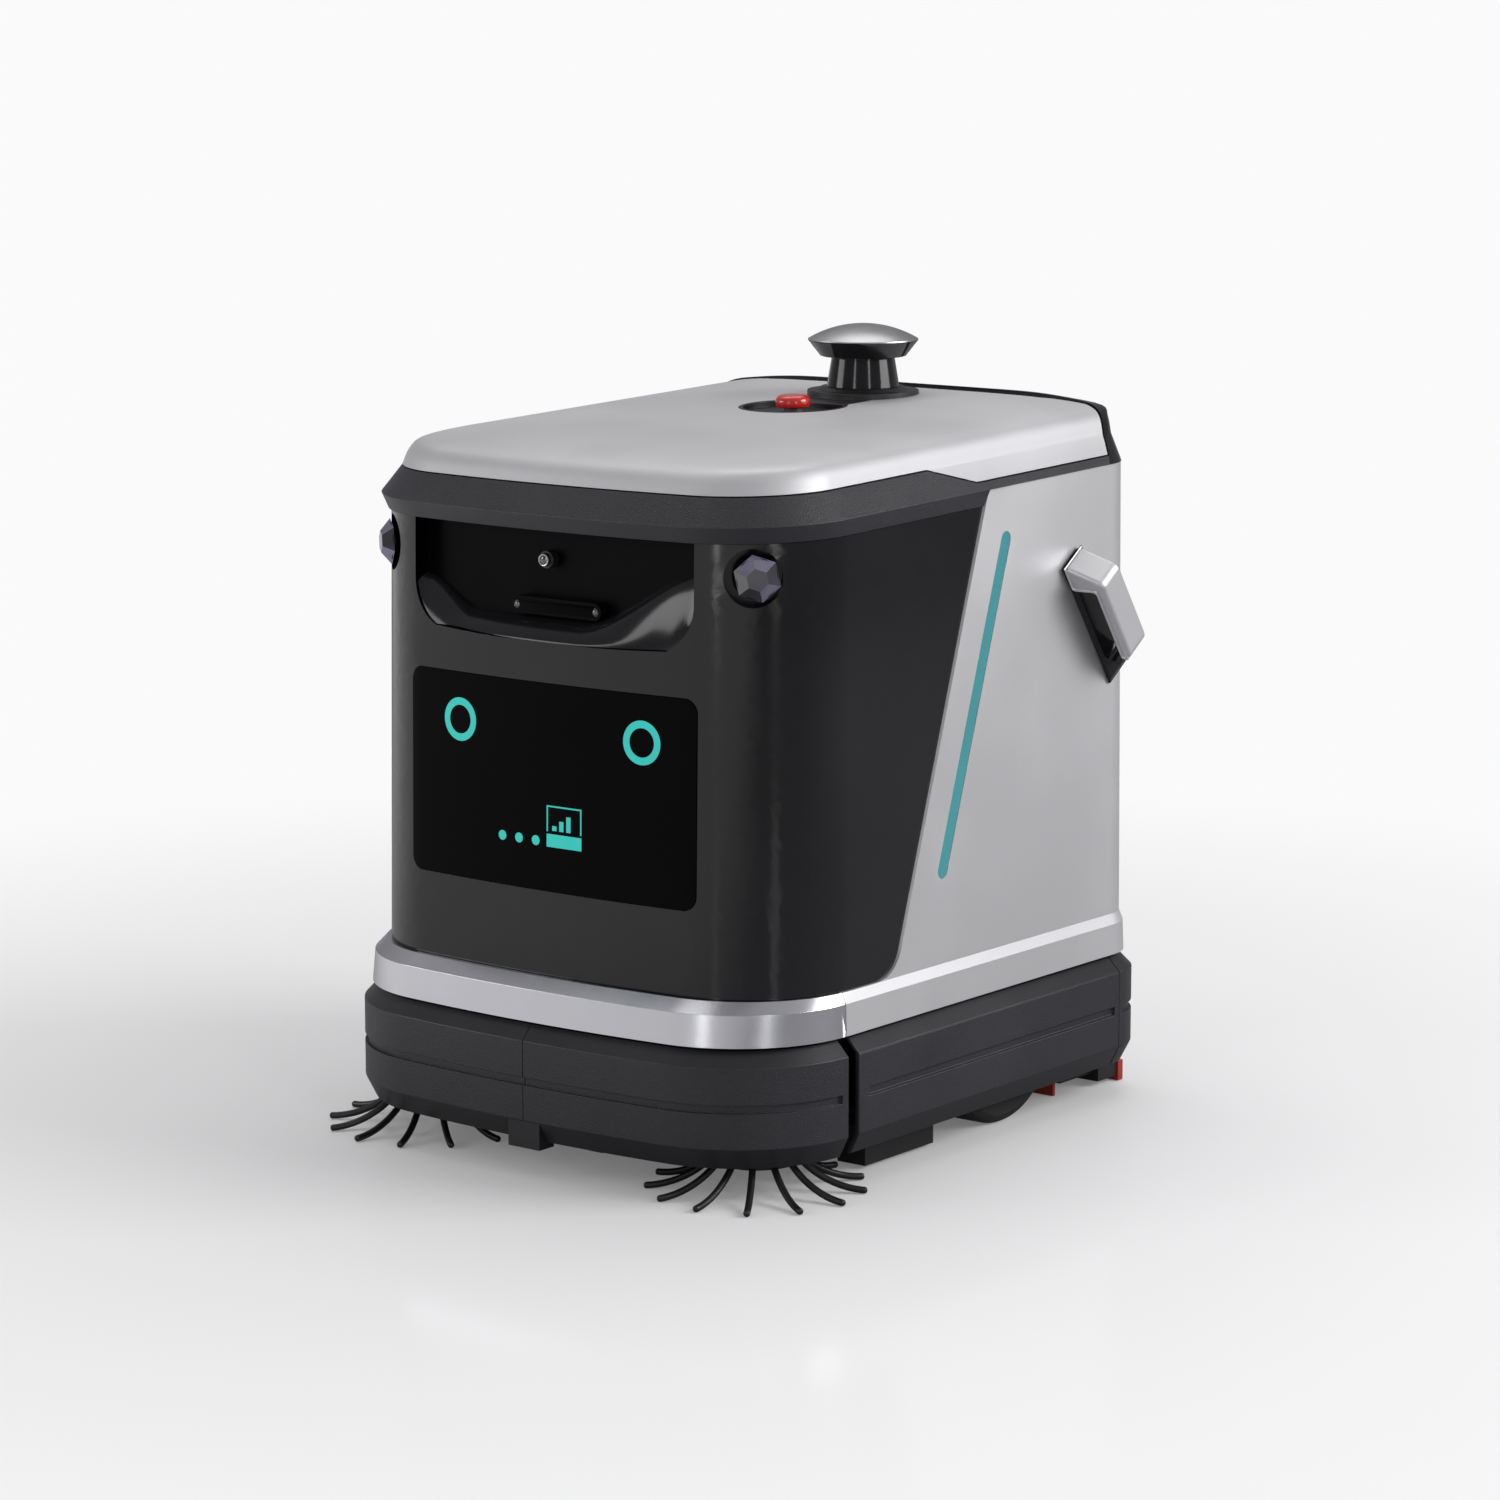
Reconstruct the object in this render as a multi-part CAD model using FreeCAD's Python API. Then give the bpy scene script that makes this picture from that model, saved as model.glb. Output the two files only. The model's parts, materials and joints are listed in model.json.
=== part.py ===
import FreeCAD, Part
import math
import os

# Robotic floor cleaner. Millimetres, +Z up, the front faces -Y.
# Origin: on the floor, under the middle of the machine.
# A "section" is a plan outline: (half width, front y, rear y, front corner r, rear corner r).

V = FreeCAD.Vector
X, Y, Z = V(1, 0, 0), V(0, 1, 0), V(0, 0, 1)
far = 400.0                       # reach of cutting blocks, beyond the whole machine

# ---------------------------------------------------------------- overall
bumper_half_width = 250.0
bumper_half_length = 292.0
front_corner_r = 120.0
rear_corner_r = 55.0
front_bow = 6.0                   # how far the front bulges between its corners
tip_half_length = bumper_half_length + 5.0   # bristle tips in front, squeegee behind

# ---------------------------------------------------------------- heights of the shell
skirt_bottom_z = 30.0
skirt_low_z = 48.0
skirt_high_z = 116.0
skirt_top_z = 128.5
band_bottom_z = 131.0
band_high_z = 158.0
body_bottom_z = 167.0
top_z = 549.0                     # collar underside above the middle of the machine
top_tilt = math.degrees(math.atan(0.03))
panel_top_h = 13.0                # heights h are measured square to the tilted top
crease_h = 14.0
shoulder_h = 36.0
dome_h = 65.5
plateau_h = 66.3
rear_lid_edge_h = 20.0

# ---------------------------------------------------------------- walls and fits
skirt_wall = 5.0
band_wall = 6.0
panel_wall = 3.0
fascia_wall = 3.0
lid_wall = 4.0
seam = 0.3                        # gap between two fixed covers
lid_gap = 1.2
running_fit = 0.05                # radial clearance of a shaft in its bore
slide_gap = 0.5

# ---------------------------------------------------------------- covers
band_seam_y = -bumper_half_length + 127.0              # where the front band meets the side panels
rear_zone_half = bumper_half_width - 64.0    # half width of the rear cover

# ---------------------------------------------------------------- bumper and skirts
bumper_end_y = -bumper_half_length + 120.0
side_skirt_front_y = bumper_end_y + 15.0
rear_skirt_y = bumper_half_length - 58.0
groove_low_z = 78.0
groove_high_z = 85.0
groove_depth = 3.0
groove_margin = 7.0
lug_half_width = 17.0
lug_bottom_z = 24.0
lug_depth = 20.0
guide_pin_r = 4.0
guide_pin_x = 80.0
guide_pin_z = 98.0

# ---------------------------------------------------------------- chassis tray
tray_inset = 24.0
tray_front_inset = 32.0
tray_z = 46.0
tray_plate = 6.0
tray_wall = 3.0
flange_z = 133.0
pad_half_width = 40.0
pad_y = 170.0
pad_half_depth = 20.0
pad_drop = 2.0                    # the stand pad reaches this far below the tray

# ---------------------------------------------------------------- drive wheels
wheel_r = 82.5
wheel_width = 44.0
wheel_outer_x = bumper_half_width - 31.0
axle_y = 102.0
tyre_inner_r = 62.0
axle_r = 8.0
arm_x = wheel_outer_x - wheel_width - 25.0
arm_thick = 10.0
arm_half_width = 15.0
arm_pivot_y = 25.0
arm_pivot_z = 120.0
pivot_r = 6.0
well_gap = 5.0

# ---------------------------------------------------------------- front caster
caster_y = -bumper_half_length + 87.0
caster_r = 19.0
caster_width = 18.0
caster_trail = 14.0
fork_thick = 3.0
swivel_r = 6.0
caster_pin_r = 3.0

# ---------------------------------------------------------------- main brush deck
brush_y = -46.0
brush_r = 31.0
floor_gap = 0.5
brush_half_length = bumper_half_width - 67.0
brush_shaft_r = 5.0
deck_cover_gap = 4.0
deck_cover_r = brush_r + deck_cover_gap
deck_cover_wall = 3.0
deck_plate_x = brush_half_length + 3.0
deck_plate_thick = 14.0
deck_end_x = bumper_half_width - 35.0
deck_end_top_z = 36.0
deck_front_y = brush_y - 55.0
deck_rear_y = brush_y + 44.0
deck_lift = 8.0
deck_opening_gap = 5.0
deck_motor_r = 20.0
deck_motor_gap = 6.5
deck_motor_z = (brush_r + floor_gap + deck_cover_r + deck_cover_wall + deck_motor_gap
                + deck_motor_r)

# ---------------------------------------------------------------- side brushes
side_brush_x = bumper_half_width - 72.0
side_brush_y = -bumper_half_length + 89.0
side_brush_r = 94.0
side_hub_r = 20.0
side_hub_low_z = 22.0
side_hub_high_z = 37.0
side_disc_r = 38.0
side_disc_low_z = 24.0
side_shaft_r = 4.0
bristle_r = 2.6
bristle_bend_r = 79.5
bristle_sweep = 44.5              # degrees of bend from the disc to the tip
bristle_count = 13
bristle_phase = -2.0

# ---------------------------------------------------------------- squeegee
squeegee_half_width = bumper_half_width - 36.0
blade_thick = 8.0
blade_top_z = 19.0
squeegee_front_y = tip_half_length - 89.0
squeegee_bar_depth = 30.0
squeegee_top_z = 37.0
squeegee_pin_x = squeegee_half_width - 64.0
squeegee_pin_y = squeegee_front_y + 27.0
squeegee_pin_r = 5.0
suction_x = 80.0
suction_y = squeegee_front_y + 29.0
hose_r = 16.0
hose_wall = 2.5

# ---------------------------------------------------------------- front window, screen and sensors
window_ref_y = 36.0               # a point on the slanted edge of the black front
window_ref_z = top_z - 2.0
window_slope = 0.344              # y gained per z along that edge
window_corner_r = 30.0
window_bevel = 7.0
fascia_step = 2.5
screen_half_width = 154.0
bay_low_z = top_z - 101.0
bay_back_z = bay_low_z + 18.0
screen_low_z = body_bottom_z + 72.0
screen_high_z = bay_low_z - 34.0
screen_corner_r = 12.0
screen_ledge = 8.0
bay_half_width = 150.0
bay_corner_r = 42.0
bay_lip_y = -bumper_half_length + 34.0
bay_back_y = bay_lip_y + 26.0
pod_angle = -51.0
pod_z = top_z - 35.0
pod_r = 24.0
pod_depth = 20.0
camera_x = -14.0
camera_z = pod_z
camera_r = 5.5
depth_half_width = 48.0
depth_r = 7.5
depth_z = top_z - 74.0

# ---------------------------------------------------------------- side light strips and handles
strip_offset = 45.0               # y from the window's slanted edge to the light strip
strip_top_z = top_z - 30.0
strip_bottom_z = body_bottom_z + 80.0
strip_half_width = 7.0
handle_y = bumper_half_length - 126.0
handle_z = top_z - 54.0
handle_angle = 55.6               # the handle leans this far below the horizontal
handle_length = 138.0
handle_reach = 37.0
handle_upper_run = 17.0
handle_lower_run = 40.0
handle_width = 30.0
handle_bar = 11.0
handle_base = 6.0
handle_skin = 2.5
handle_plane_x = bumper_half_width - 14.0

# ---------------------------------------------------------------- lid and tower
hinge_y = bumper_half_length - 44.0
hinge_h = 55.0
hinge_barrel_r = 10.0
hinge_eye_r = 6.0
hinge_pin_r = 3.0
hinge_x = 100.0
hinge_eye_width = 16.0
knuckle_width = 8.0
lid_corner_r = 75.0
step_front_y = -22.0
step_rear_y = 34.0
rim_rise = 2.0
rim_gap = 2.5                     # room for the lid's rear corners to swing back
opening_section = (bumper_half_width - 50.0, -bumper_half_length + 70.0,
                   bumper_half_length - 56.0, 84.0, 30.0)
crown_section = (bumper_half_width - 70.0, -bumper_half_length + 92.0,
                 bumper_half_length - 22.0, 92.0, 30.0)
summit_section = (bumper_half_width - 110.0, -bumper_half_length + 142.0,
                  bumper_half_length - 26.0, 70.0, 20.0)
plateau_section = (bumper_half_width - 165.0, -bumper_half_length + 205.0,
                   bumper_half_length - 30.0, 50.0, 15.0)
tower_y = bumper_half_length - 107.0
tower_base_r = 50.0
tower_base_thick = 13.0
tower_base_z = top_z + 76.0
tower_low_r = 32.5
tower_high_r = 28.0
tower_cap_z = tower_base_z + 30.0
tower_rim_r = 49.5
tower_rim_z = tower_cap_z + 14.0
tower_top_z = tower_rim_z + 15.0
rotor_r = 20.0
rotor_shaft_r = 3.0
bridge_half_width = 36.0
stop_y = tower_y - 102.0
stop_dish_r = 48.0
stop_dish_floor_h = 61.0
stop_dish_rim_h = 66.5
stop_head_r = 15.5
stop_head_low_h = 66.0
stop_head_high_h = 76.5
stop_stem_r = 8.0

# ---------------------------------------------------------------- inside
shelf_z = 2 * wheel_r + 7.0
shelf_thick = 4.0
tank_half_width = bumper_half_width - 55.0
tank_wall = 3.0
tank_low_z = shelf_z + shelf_thick + 1.0
clean_tank_y = (-bumper_half_length + 97.0, 18.0)
clean_tank_z = top_z - 44.0
clean_cap_r = 36.0
clean_cap_y = -88.0
waste_tank_y = (26.0, bumper_half_length - 64.0)
waste_tank_z = top_z - 19.0
waste_cap_r = 50.0
waste_cap_y = 127.0
cap_height = 12.0
cap_plug = 6.0                    # how far a cap's plug reaches into its tank
cap_lip = 4.0
battery_size = (240.0, 150.0, 90.0)
battery_y = 110.0
fan_x = -75.0
fan_y = -bumper_half_length + 142.0
fan_r = 48.0
impeller_shaft_r = 3.0
power_x = 120.0
power_z = top_z - 119.0
power_r = 9.0
power_length = 14.0
contact_x = 45.0
contact_z = 200.0
contact_half_width = 20.0
contact_half_height = 10.0


# ================================================================ helpers
def shrink(section, side, front=None, rear=None):
    """The section moved inwards, with its corners following the side inset."""
    front = side if front is None else front
    rear = side if rear is None else rear
    width, y_front, y_rear, r_front, r_rear = section
    return (width - side, y_front + front, y_rear - rear, r_front - side, r_rear - side)


def corner_centre(section):
    """Centre of the right front corner's arc, and the radius of the bowed front."""
    width, y_front, y_rear, r_front, r_rear = section
    flat = width - r_front
    bow_r = (flat ** 2 + front_bow ** 2) / (2 * front_bow)
    y = y_front + bow_r - math.sqrt((bow_r - r_front) ** 2 - flat ** 2)
    return flat, y, bow_r


def outline(section, z):
    """Closed plan wire: bowed front, tangent corner arcs, flat sides and rear."""
    width, y_front, y_rear, r_front, r_rear = section
    cx, cy, bow_r = corner_centre(section)
    ux = cx / (bow_r - r_front)
    uy = (cy - y_front - bow_r) / (bow_r - r_front)
    meet = (cx + r_front * ux, cy + r_front * uy)
    half = 0.5 * math.atan2(uy, ux)
    bend = (cx + r_front * math.cos(half), cy + r_front * math.sin(half))
    diagonal = r_rear * math.sqrt(0.5)
    rx, ry = width - r_rear, y_rear - r_rear

    def arc(a, b, c):
        return Part.Arc(V(a[0], a[1], z), V(b[0], b[1], z), V(c[0], c[1], z)).toShape()

    def line(a, b):
        return Part.makeLine(V(a[0], a[1], z), V(b[0], b[1], z))

    edges = [
        arc((-meet[0], meet[1]), (0, y_front), meet),
        arc(meet, bend, (width, cy)),
        line((width, cy), (width, ry)),
        arc((width, ry), (rx + diagonal, ry + diagonal), (rx, y_rear)),
        line((rx, y_rear), (-rx, y_rear)),
        arc((-rx, y_rear), (-rx - diagonal, ry + diagonal), (-width, ry)),
        line((-width, ry), (-width, cy)),
        arc((-width, cy), (-bend[0], bend[1]), (-meet[0], meet[1])),
    ]
    return Part.Wire(edges)


def stack(levels):
    """Solid through a list of (z, section) levels."""
    solid = None
    for (z0, s0), (z1, s1) in zip(levels, levels[1:]):
        slab = Part.makeLoft([outline(s0, z0), outline(s1, z1)], True, True)
        solid = slab if solid is None else solid.fuse(slab)
    return solid


def smooth_levels(knots, steps):
    """More levels between the given ones, on smooth curves through them."""
    rows = [(z,) + section for z, section in knots]
    last = len(rows) - 1
    slopes = []
    for k in range(last + 1):
        low, high = max(k - 1, 0), min(k + 1, last)
        slopes.append([(b - a) / (high - low) for a, b in zip(rows[low], rows[high])])
    levels = []
    for k in range(last):
        for step in range(steps):
            t = step / steps
            h00, h10 = (1 + 2 * t) * (1 - t) ** 2, t * (1 - t) ** 2
            h01, h11 = t * t * (3 - 2 * t), t * t * (t - 1)
            row = [h00 * a + h10 * da + h01 * b + h11 * db for a, da, b, db
                   in zip(rows[k], slopes[k], rows[k + 1], slopes[k + 1])]
            levels.append((row[0], tuple(row[1:])))
    return levels + [knots[-1]]


def inset_levels(levels, wall):
    return [(z, shrink(section, wall)) for z, section in levels]


def box(x0, x1, y0, y1, z0, z1):
    return Part.makeBox(x1 - x0, y1 - y0, z1 - z0, V(x0, y0, z0))


def rod(r, length, x, y, z, axis=Z):
    return Part.makeCylinder(r, length, V(x, y, z), axis)


def cone(r0, r1, length, x, y, z):
    return Part.makeCone(r0, r1, length, V(x, y, z), Z)


def prism(points, direction):
    """Solid from a closed polygon, pushed along a direction."""
    wire = Part.makePolygon([V(*p) for p in points + points[:1]])
    return Part.Face(wire).extrude(direction)


def slot(ax, az, bx, bz, r):
    """Corner points and cap midpoints of a stadium between two points."""
    length = math.hypot(bx - ax, bz - az)
    ux, uz = (bx - ax) / length, (bz - az) / length
    nx, nz = -uz, ux
    corners = [(ax + r * nx, az + r * nz), (bx + r * nx, bz + r * nz),
               (bx - r * nx, bz - r * nz), (ax - r * nx, az - r * nz)]
    caps = [(bx + r * ux, bz + r * uz), (ax - r * ux, az - r * uz)]
    return corners, caps


def slot_along_x(start, end, r, x0, x1):
    """Stadium bar whose section lies in the YZ plane."""
    corners, caps = slot(start[0], start[1], end[0], end[1], r)
    p = [V(x0, a, b) for a, b in corners]
    c = [V(x0, a, b) for a, b in caps]
    edges = [Part.makeLine(p[0], p[1]), Part.Arc(p[1], c[0], p[2]).toShape(),
             Part.makeLine(p[2], p[3]), Part.Arc(p[3], c[1], p[0]).toShape()]
    return Part.Face(Part.Wire(edges)).extrude(V(x1 - x0, 0, 0))


def rounded_plate(half_width, z0, z1, r, y0, y1):
    """Upright plate facing the front, with rounded corners."""
    plate = box(-half_width, half_width, y0, y1, z0, z1)
    upright = [e for e in plate.Edges if abs(e.tangentAt(e.FirstParameter).y) > 0.99]
    return plate.makeFillet(r, upright)


def mirror(shape):
    return shape.mirror(V(0, 0, 0), X)


def pair(shape):
    return Part.makeCompound([mirror(shape), shape])


def to_top(shape):
    """From the top's own frame (x, y, h) to the machine's frame."""
    moved = shape.copy()
    moved.rotate(V(0, 0, 0), X, top_tilt)
    moved.translate(V(0, 0, top_z))
    return moved


def top_point(y, h):
    """Machine y and z of a point given in the top's own frame."""
    a = math.radians(top_tilt)
    return y * math.cos(a) - h * math.sin(a), top_z + y * math.sin(a) + h * math.cos(a)


def top_block(h0, h1, y0=-far, y1=far, half=far):
    return to_top(box(-half, half, y0, y1, h0, h1))


# ================================================================ shared envelopes
bumper_section = (bumper_half_width, -bumper_half_length, bumper_half_length,
                  front_corner_r, rear_corner_r)
skirt_levels = [
    (skirt_bottom_z, shrink(bumper_section, 9.0)),
    (skirt_low_z, bumper_section),
    (skirt_high_z, bumper_section),
    (skirt_top_z, shrink(bumper_section, 12.0)),
]
shell_levels = [
    (band_bottom_z, shrink(bumper_section, 7.5)),
    (band_high_z, shrink(bumper_section, 8.5, 10.5)),
    (body_bottom_z, shrink(bumper_section, 12.0, 24.0)),
    (top_z + 40.0, shrink(bumper_section, 16.0, 30.0)),
]
fascia_levels = [
    (z, shrink(section, fascia_step, 2 * fascia_step, fascia_step))
    for z, section in shell_levels[2:]
]
collar_levels = [
    (0.0, shrink(bumper_section, 17.0, 31.0)),
    (crease_h, shrink(bumper_section, 14.0, 24.0)),
    (shoulder_h, shrink(bumper_section, 31.0, 43.0, 18.0)),
]
dome_levels = [
    (shoulder_h, shrink(bumper_section, 31.0, 43.0, 18.0)),
    (50.0, shrink(bumper_section, 36.0, 51.0, 19.0)),
    (58.0, shrink(bumper_section, 46.0, 65.0, 20.0)),
    (63.0, crown_section),
    (dome_h, summit_section),
    (plateau_h, plateau_section),
]

skirt_outer = stack(skirt_levels)
skirt_inner = stack([(skirt_bottom_z - 1.0, shrink(skirt_levels[0][1], skirt_wall))]
                    + inset_levels(skirt_levels, skirt_wall)
                    + [(skirt_top_z + 1.0, shrink(skirt_levels[3][1], skirt_wall))])
skirt_ring = skirt_outer.cut(skirt_inner)
fascia_outer = stack(fascia_levels)
dome_skin = smooth_levels(dome_levels, 4)
top_outer = to_top(stack(collar_levels + dome_skin[1:]))


def window_wire(x, grow):
    """Edge of the black front on one side: slanted, with a rounded lower corner."""
    norm = math.hypot(window_slope, 1.0)
    base_y = window_ref_y + window_slope * (body_bottom_z - window_ref_z) + grow * norm
    top_edge_z = top_z + 70.0
    top_edge_y = base_y + window_slope * (top_edge_z - body_bottom_z)
    up = (window_slope / norm, 1.0 / norm)
    angle = math.acos(-up[0])
    r = window_corner_r + grow
    tangent = r / math.tan(angle / 2)
    half = (up[0] - 1.0, up[1])
    half_len = math.hypot(*half)
    bis = (half[0] / half_len, half[1] / half_len)
    reach = r / math.sin(angle / 2)
    start = V(x, base_y - tangent, body_bottom_z)
    end = V(x, base_y + up[0] * tangent, body_bottom_z + up[1] * tangent)
    bend = V(x, base_y + bis[0] * (reach - r), body_bottom_z + bis[1] * (reach - r))
    front_low = V(x, -far, body_bottom_z)
    front_high = V(x, -far, top_edge_z)
    crest = V(x, top_edge_y, top_edge_z)
    return Part.Wire([
        Part.makeLine(front_low, start), Part.Arc(start, bend, end).toShape(),
        Part.makeLine(end, crest), Part.makeLine(crest, front_high),
        Part.makeLine(front_high, front_low)])


def window_zone(gap):
    """Space of the black front: its slanted edges open out towards the sides."""
    inner_x = bumper_half_width - 35.0
    outer_x = bumper_half_width
    middle = Part.Face(window_wire(-inner_x, -gap)).extrude(V(2 * inner_x, 0, 0))
    wing = Part.makeLoft([window_wire(inner_x, -gap), window_wire(outer_x, window_bevel - gap)],
                         True, True)
    return middle.fuse(wing).fuse(mirror(wing))


# ================================================================ bumper and skirts
def groove(y0, y1):
    """Shallow channel round the skirts, between two y limits."""
    outer = stack([(groove_low_z, shrink(bumper_section, -1.0)),
                   (groove_high_z, shrink(bumper_section, -1.0))])
    inner = stack([(groove_low_z, shrink(bumper_section, groove_depth)),
                   (groove_high_z, shrink(bumper_section, groove_depth))])
    return outer.cut(inner).common(box(-far, far, y0, y1, 0, far))


def lug_box(gap):
    return box(-lug_half_width - gap, lug_half_width + gap, -bumper_half_length + 1.0 - gap,
               -bumper_half_length + lug_depth, lug_bottom_z, skirt_low_z + 2.0 + gap)


def front_bumper():
    ring = skirt_ring.common(box(-far, far, -far, bumper_end_y, 0, far))
    ring = ring.cut(groove(-far, bumper_end_y - groove_margin)).cut(lug_box(seam))
    right = ring.common(box(seam, far, -far, far, 0, far))
    return mirror(right), right


def bumper_bracket():
    levels = [(guide_pin_z - 10.0, shrink(bumper_section, skirt_wall)),
              (guide_pin_z + 10.0, shrink(bumper_section, skirt_wall))]
    bar = stack(levels).cut(stack(inset_levels(levels, 8.0)))
    bar = bar.common(box(-130, 130, -far, -200, 0, far))
    lug = lug_box(0.0).cut(box(-far, far, -far, far, skirt_low_z + 2.0, far))
    post = box(-10, 10, -bumper_half_length + skirt_wall + 1.0, -bumper_half_length + 13.0,
               skirt_low_z, guide_pin_z)
    bracket = bar.fuse(lug).fuse(post)
    for side in (-1, 1):
        pin = rod(guide_pin_r, 46.0, side * guide_pin_x, -bumper_half_length + 9.0, guide_pin_z, Y)
        bracket = bracket.fuse(pin)
    return bracket.removeSplitter()


def side_skirt():
    zone = box(0, far, side_skirt_front_y, rear_skirt_y - seam, 0, far)
    skirt = skirt_ring.common(zone)
    skirt = skirt.cut(groove(side_skirt_front_y + 2 * groove_margin, rear_skirt_y - groove_margin))
    tray_x = bumper_half_width - tray_inset
    for y in (-130.0, 0.0, 200.0):
        skirt = skirt.fuse(box(tray_x, bumper_half_width - 4.0, y - 12, y + 12, 60, 66))
    return mirror(skirt), skirt


def rear_skirt():
    skirt = skirt_ring.common(box(-far, far, rear_skirt_y + seam, far, 0, far))
    skirt = skirt.cut(groove(rear_skirt_y + groove_margin, far))
    tray_y = bumper_half_length - tray_inset
    for x in (-120.0, 120.0):
        skirt = skirt.fuse(box(x - 12, x + 12, tray_y, bumper_half_length - 4.0, 60, 66))
    return skirt


# ================================================================ chassis
tray_section = shrink(bumper_section, tray_inset, tray_front_inset)
wheel_inner_x = wheel_outer_x - wheel_width
deck_open_x = deck_plate_x + deck_plate_thick + deck_opening_gap


def wheel_well(side):
    x0, x1 = wheel_inner_x - well_gap, wheel_outer_x + well_gap - 1.0
    half = wheel_r + well_gap
    well = box(x0, x1, axle_y - half, axle_y + half, 0, tray_z + tray_plate)
    return well if side > 0 else mirror(well)


def chassis_base():
    plate = stack([(tray_z, tray_section), (tray_z + tray_plate, tray_section)])
    wall = stack([(tray_z + tray_plate, tray_section), (flange_z, tray_section)])
    hollow = shrink(tray_section, tray_wall)
    wall = wall.cut(stack([(tray_z + tray_plate, hollow), (flange_z, hollow)]))
    rim = shrink(shell_levels[1][1], band_wall + seam)
    flange = stack([(flange_z, rim), (flange_z + tray_wall, rim)])
    flange = flange.cut(stack([(flange_z, hollow), (flange_z + tray_wall, hollow)]))
    pad = box(-pad_half_width, pad_half_width, pad_y - pad_half_depth, pad_y + pad_half_depth,
              tray_z - pad_drop, tray_z)
    base = plate.fuse(wall).fuse(flange).fuse(pad)
    base = base.fuse(rod(2 * swivel_r, 14.0, 0, caster_y, tray_z + tray_plate))
    base = base.cut(rod(swivel_r + running_fit, 40.0, 0, caster_y, tray_z - 10))
    base = base.cut(box(-deck_open_x, deck_open_x, deck_front_y + 3.0, deck_rear_y + 8.0, 0,
                        tray_z + tray_plate))
    for side in (-1, 1):
        base = base.cut(wheel_well(side))
        base = base.cut(rod(side_shaft_r + 3.0, 40.0, side * side_brush_x, side_brush_y, tray_z - 10))
        base = base.cut(rod(squeegee_pin_r + running_fit, 40.0, side * squeegee_pin_x,
                            squeegee_pin_y, tray_z - 10))
        base = base.cut(rod(guide_pin_r + running_fit, 40.0, side * guide_pin_x,
                            -bumper_half_length + 10.0, guide_pin_z, Y))
    base = base.cut(rod(hose_r + 2.0, 40.0, suction_x, suction_y, tray_z - 10))
    return base.removeSplitter()


def inner_frame():
    frame = box(-tank_half_width - 8, tank_half_width + 8, -bumper_half_length + 87,
                bumper_half_length - 47, shelf_z, shelf_z + shelf_thick)
    for side in (-1, 1):
        for x, y in ((140.0, -125.0), (128.0, 216.0)):
            frame = frame.fuse(box(side * x - 8, side * x + 8, y - 8, y + 8,
                                   tray_z + tray_plate, shelf_z))
        plate = box(arm_x - 18, arm_x - 12, arm_pivot_y - 9, arm_pivot_y + 20,
                    tray_z + tray_plate, shelf_z)
        pin = rod(pivot_r, arm_thick + 18.0, arm_x - 12, arm_pivot_y, arm_pivot_z, X)
        bracket = plate.fuse(pin)
        frame = frame.fuse(bracket if side > 0 else mirror(bracket))
    frame = frame.cut(rod(hose_r + 1.0, 20.0, suction_x, suction_y, shelf_z - 5))
    return frame.removeSplitter()


# ================================================================ body covers
def rear_zone(gap):
    return box(-rear_zone_half + gap, rear_zone_half - gap, bumper_half_length - 52.0 + gap, far,
               0, far * 2)


def band_shell():
    levels = shell_levels[:3]
    return stack(levels).cut(stack(inset_levels(levels, band_wall)))


def body_shell():
    levels = shell_levels[2:]
    return stack(levels).cut(stack(inset_levels(levels, panel_wall)))


def front_band():
    return band_shell().common(box(-far, far, -far, band_seam_y - seam, 0, far))


def strip_end(z):
    return window_ref_y + window_slope * (z - window_ref_z) + strip_offset, z


def strip_bar(extra):
    return slot_along_x(strip_end(strip_top_z), strip_end(strip_bottom_z),
                        strip_half_width + extra, bumper_half_width - 50.0, far)


def side_panel():
    lower = band_shell().common(box(0, far, band_seam_y + seam, far, 0, far))
    upper = body_shell().common(box(0, far, -far, far, 0, far * 2))
    upper = upper.cut(window_zone(0.0)).cut(top_block(panel_top_h, 200))
    panel = lower.fuse(upper).cut(rear_zone(0.0))
    panel = panel.cut(strip_bar(0.0))
    return panel.removeSplitter()


def led_strip():
    body = stack(inset_levels(shell_levels[2:], 0.6))
    body = body.cut(stack(inset_levels(shell_levels[2:], panel_wall + 1.0)))
    return body.common(strip_bar(-0.2))


def rim_zone(gap):
    """Everything outside the lid's plan at the rear: the black rim's space."""
    plan = (far, -far, hinge_y + hinge_barrel_r + gap, front_corner_r, lid_corner_r)
    keep = stack([(-50.0, (bumper_half_width, -far, plan[2], front_corner_r, lid_corner_r)),
                  (120.0, (bumper_half_width, -far, plan[2], front_corner_r, lid_corner_r))])
    block = box(-far, far, tower_y, far, -50.0, 120.0)
    return to_top(block.cut(keep))


def contact_bar(side, gap, y0, y1):
    half_x, half_z = contact_half_width + gap, contact_half_height + gap
    return box(side * contact_x - half_x, side * contact_x + half_x, y0, y1,
               contact_z - half_z, contact_z + half_z)


def rear_cover():
    panel = band_shell().fuse(body_shell()).common(rear_zone(seam))
    panel = panel.cut(top_block(panel_top_h + seam, 200))
    levels = [(panel_top_h + seam, shrink(bumper_section, 14.0, 24.0, 15.5))]
    levels += [(h + rim_rise * min(1.0, max(0.0, (h - shoulder_h) / (dome_h - shoulder_h))), section)
               for h, section in dome_skin]
    rim = to_top(stack(levels)).common(rim_zone(rim_gap))
    cover = panel.fuse(rim)
    cover = cover.cut(rod(power_r + slide_gap, far, power_x, 0, power_z, Y))
    for side in (-1, 1):
        cover = cover.cut(contact_bar(side, seam, 0, far))
    return cover.removeSplitter()


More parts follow.
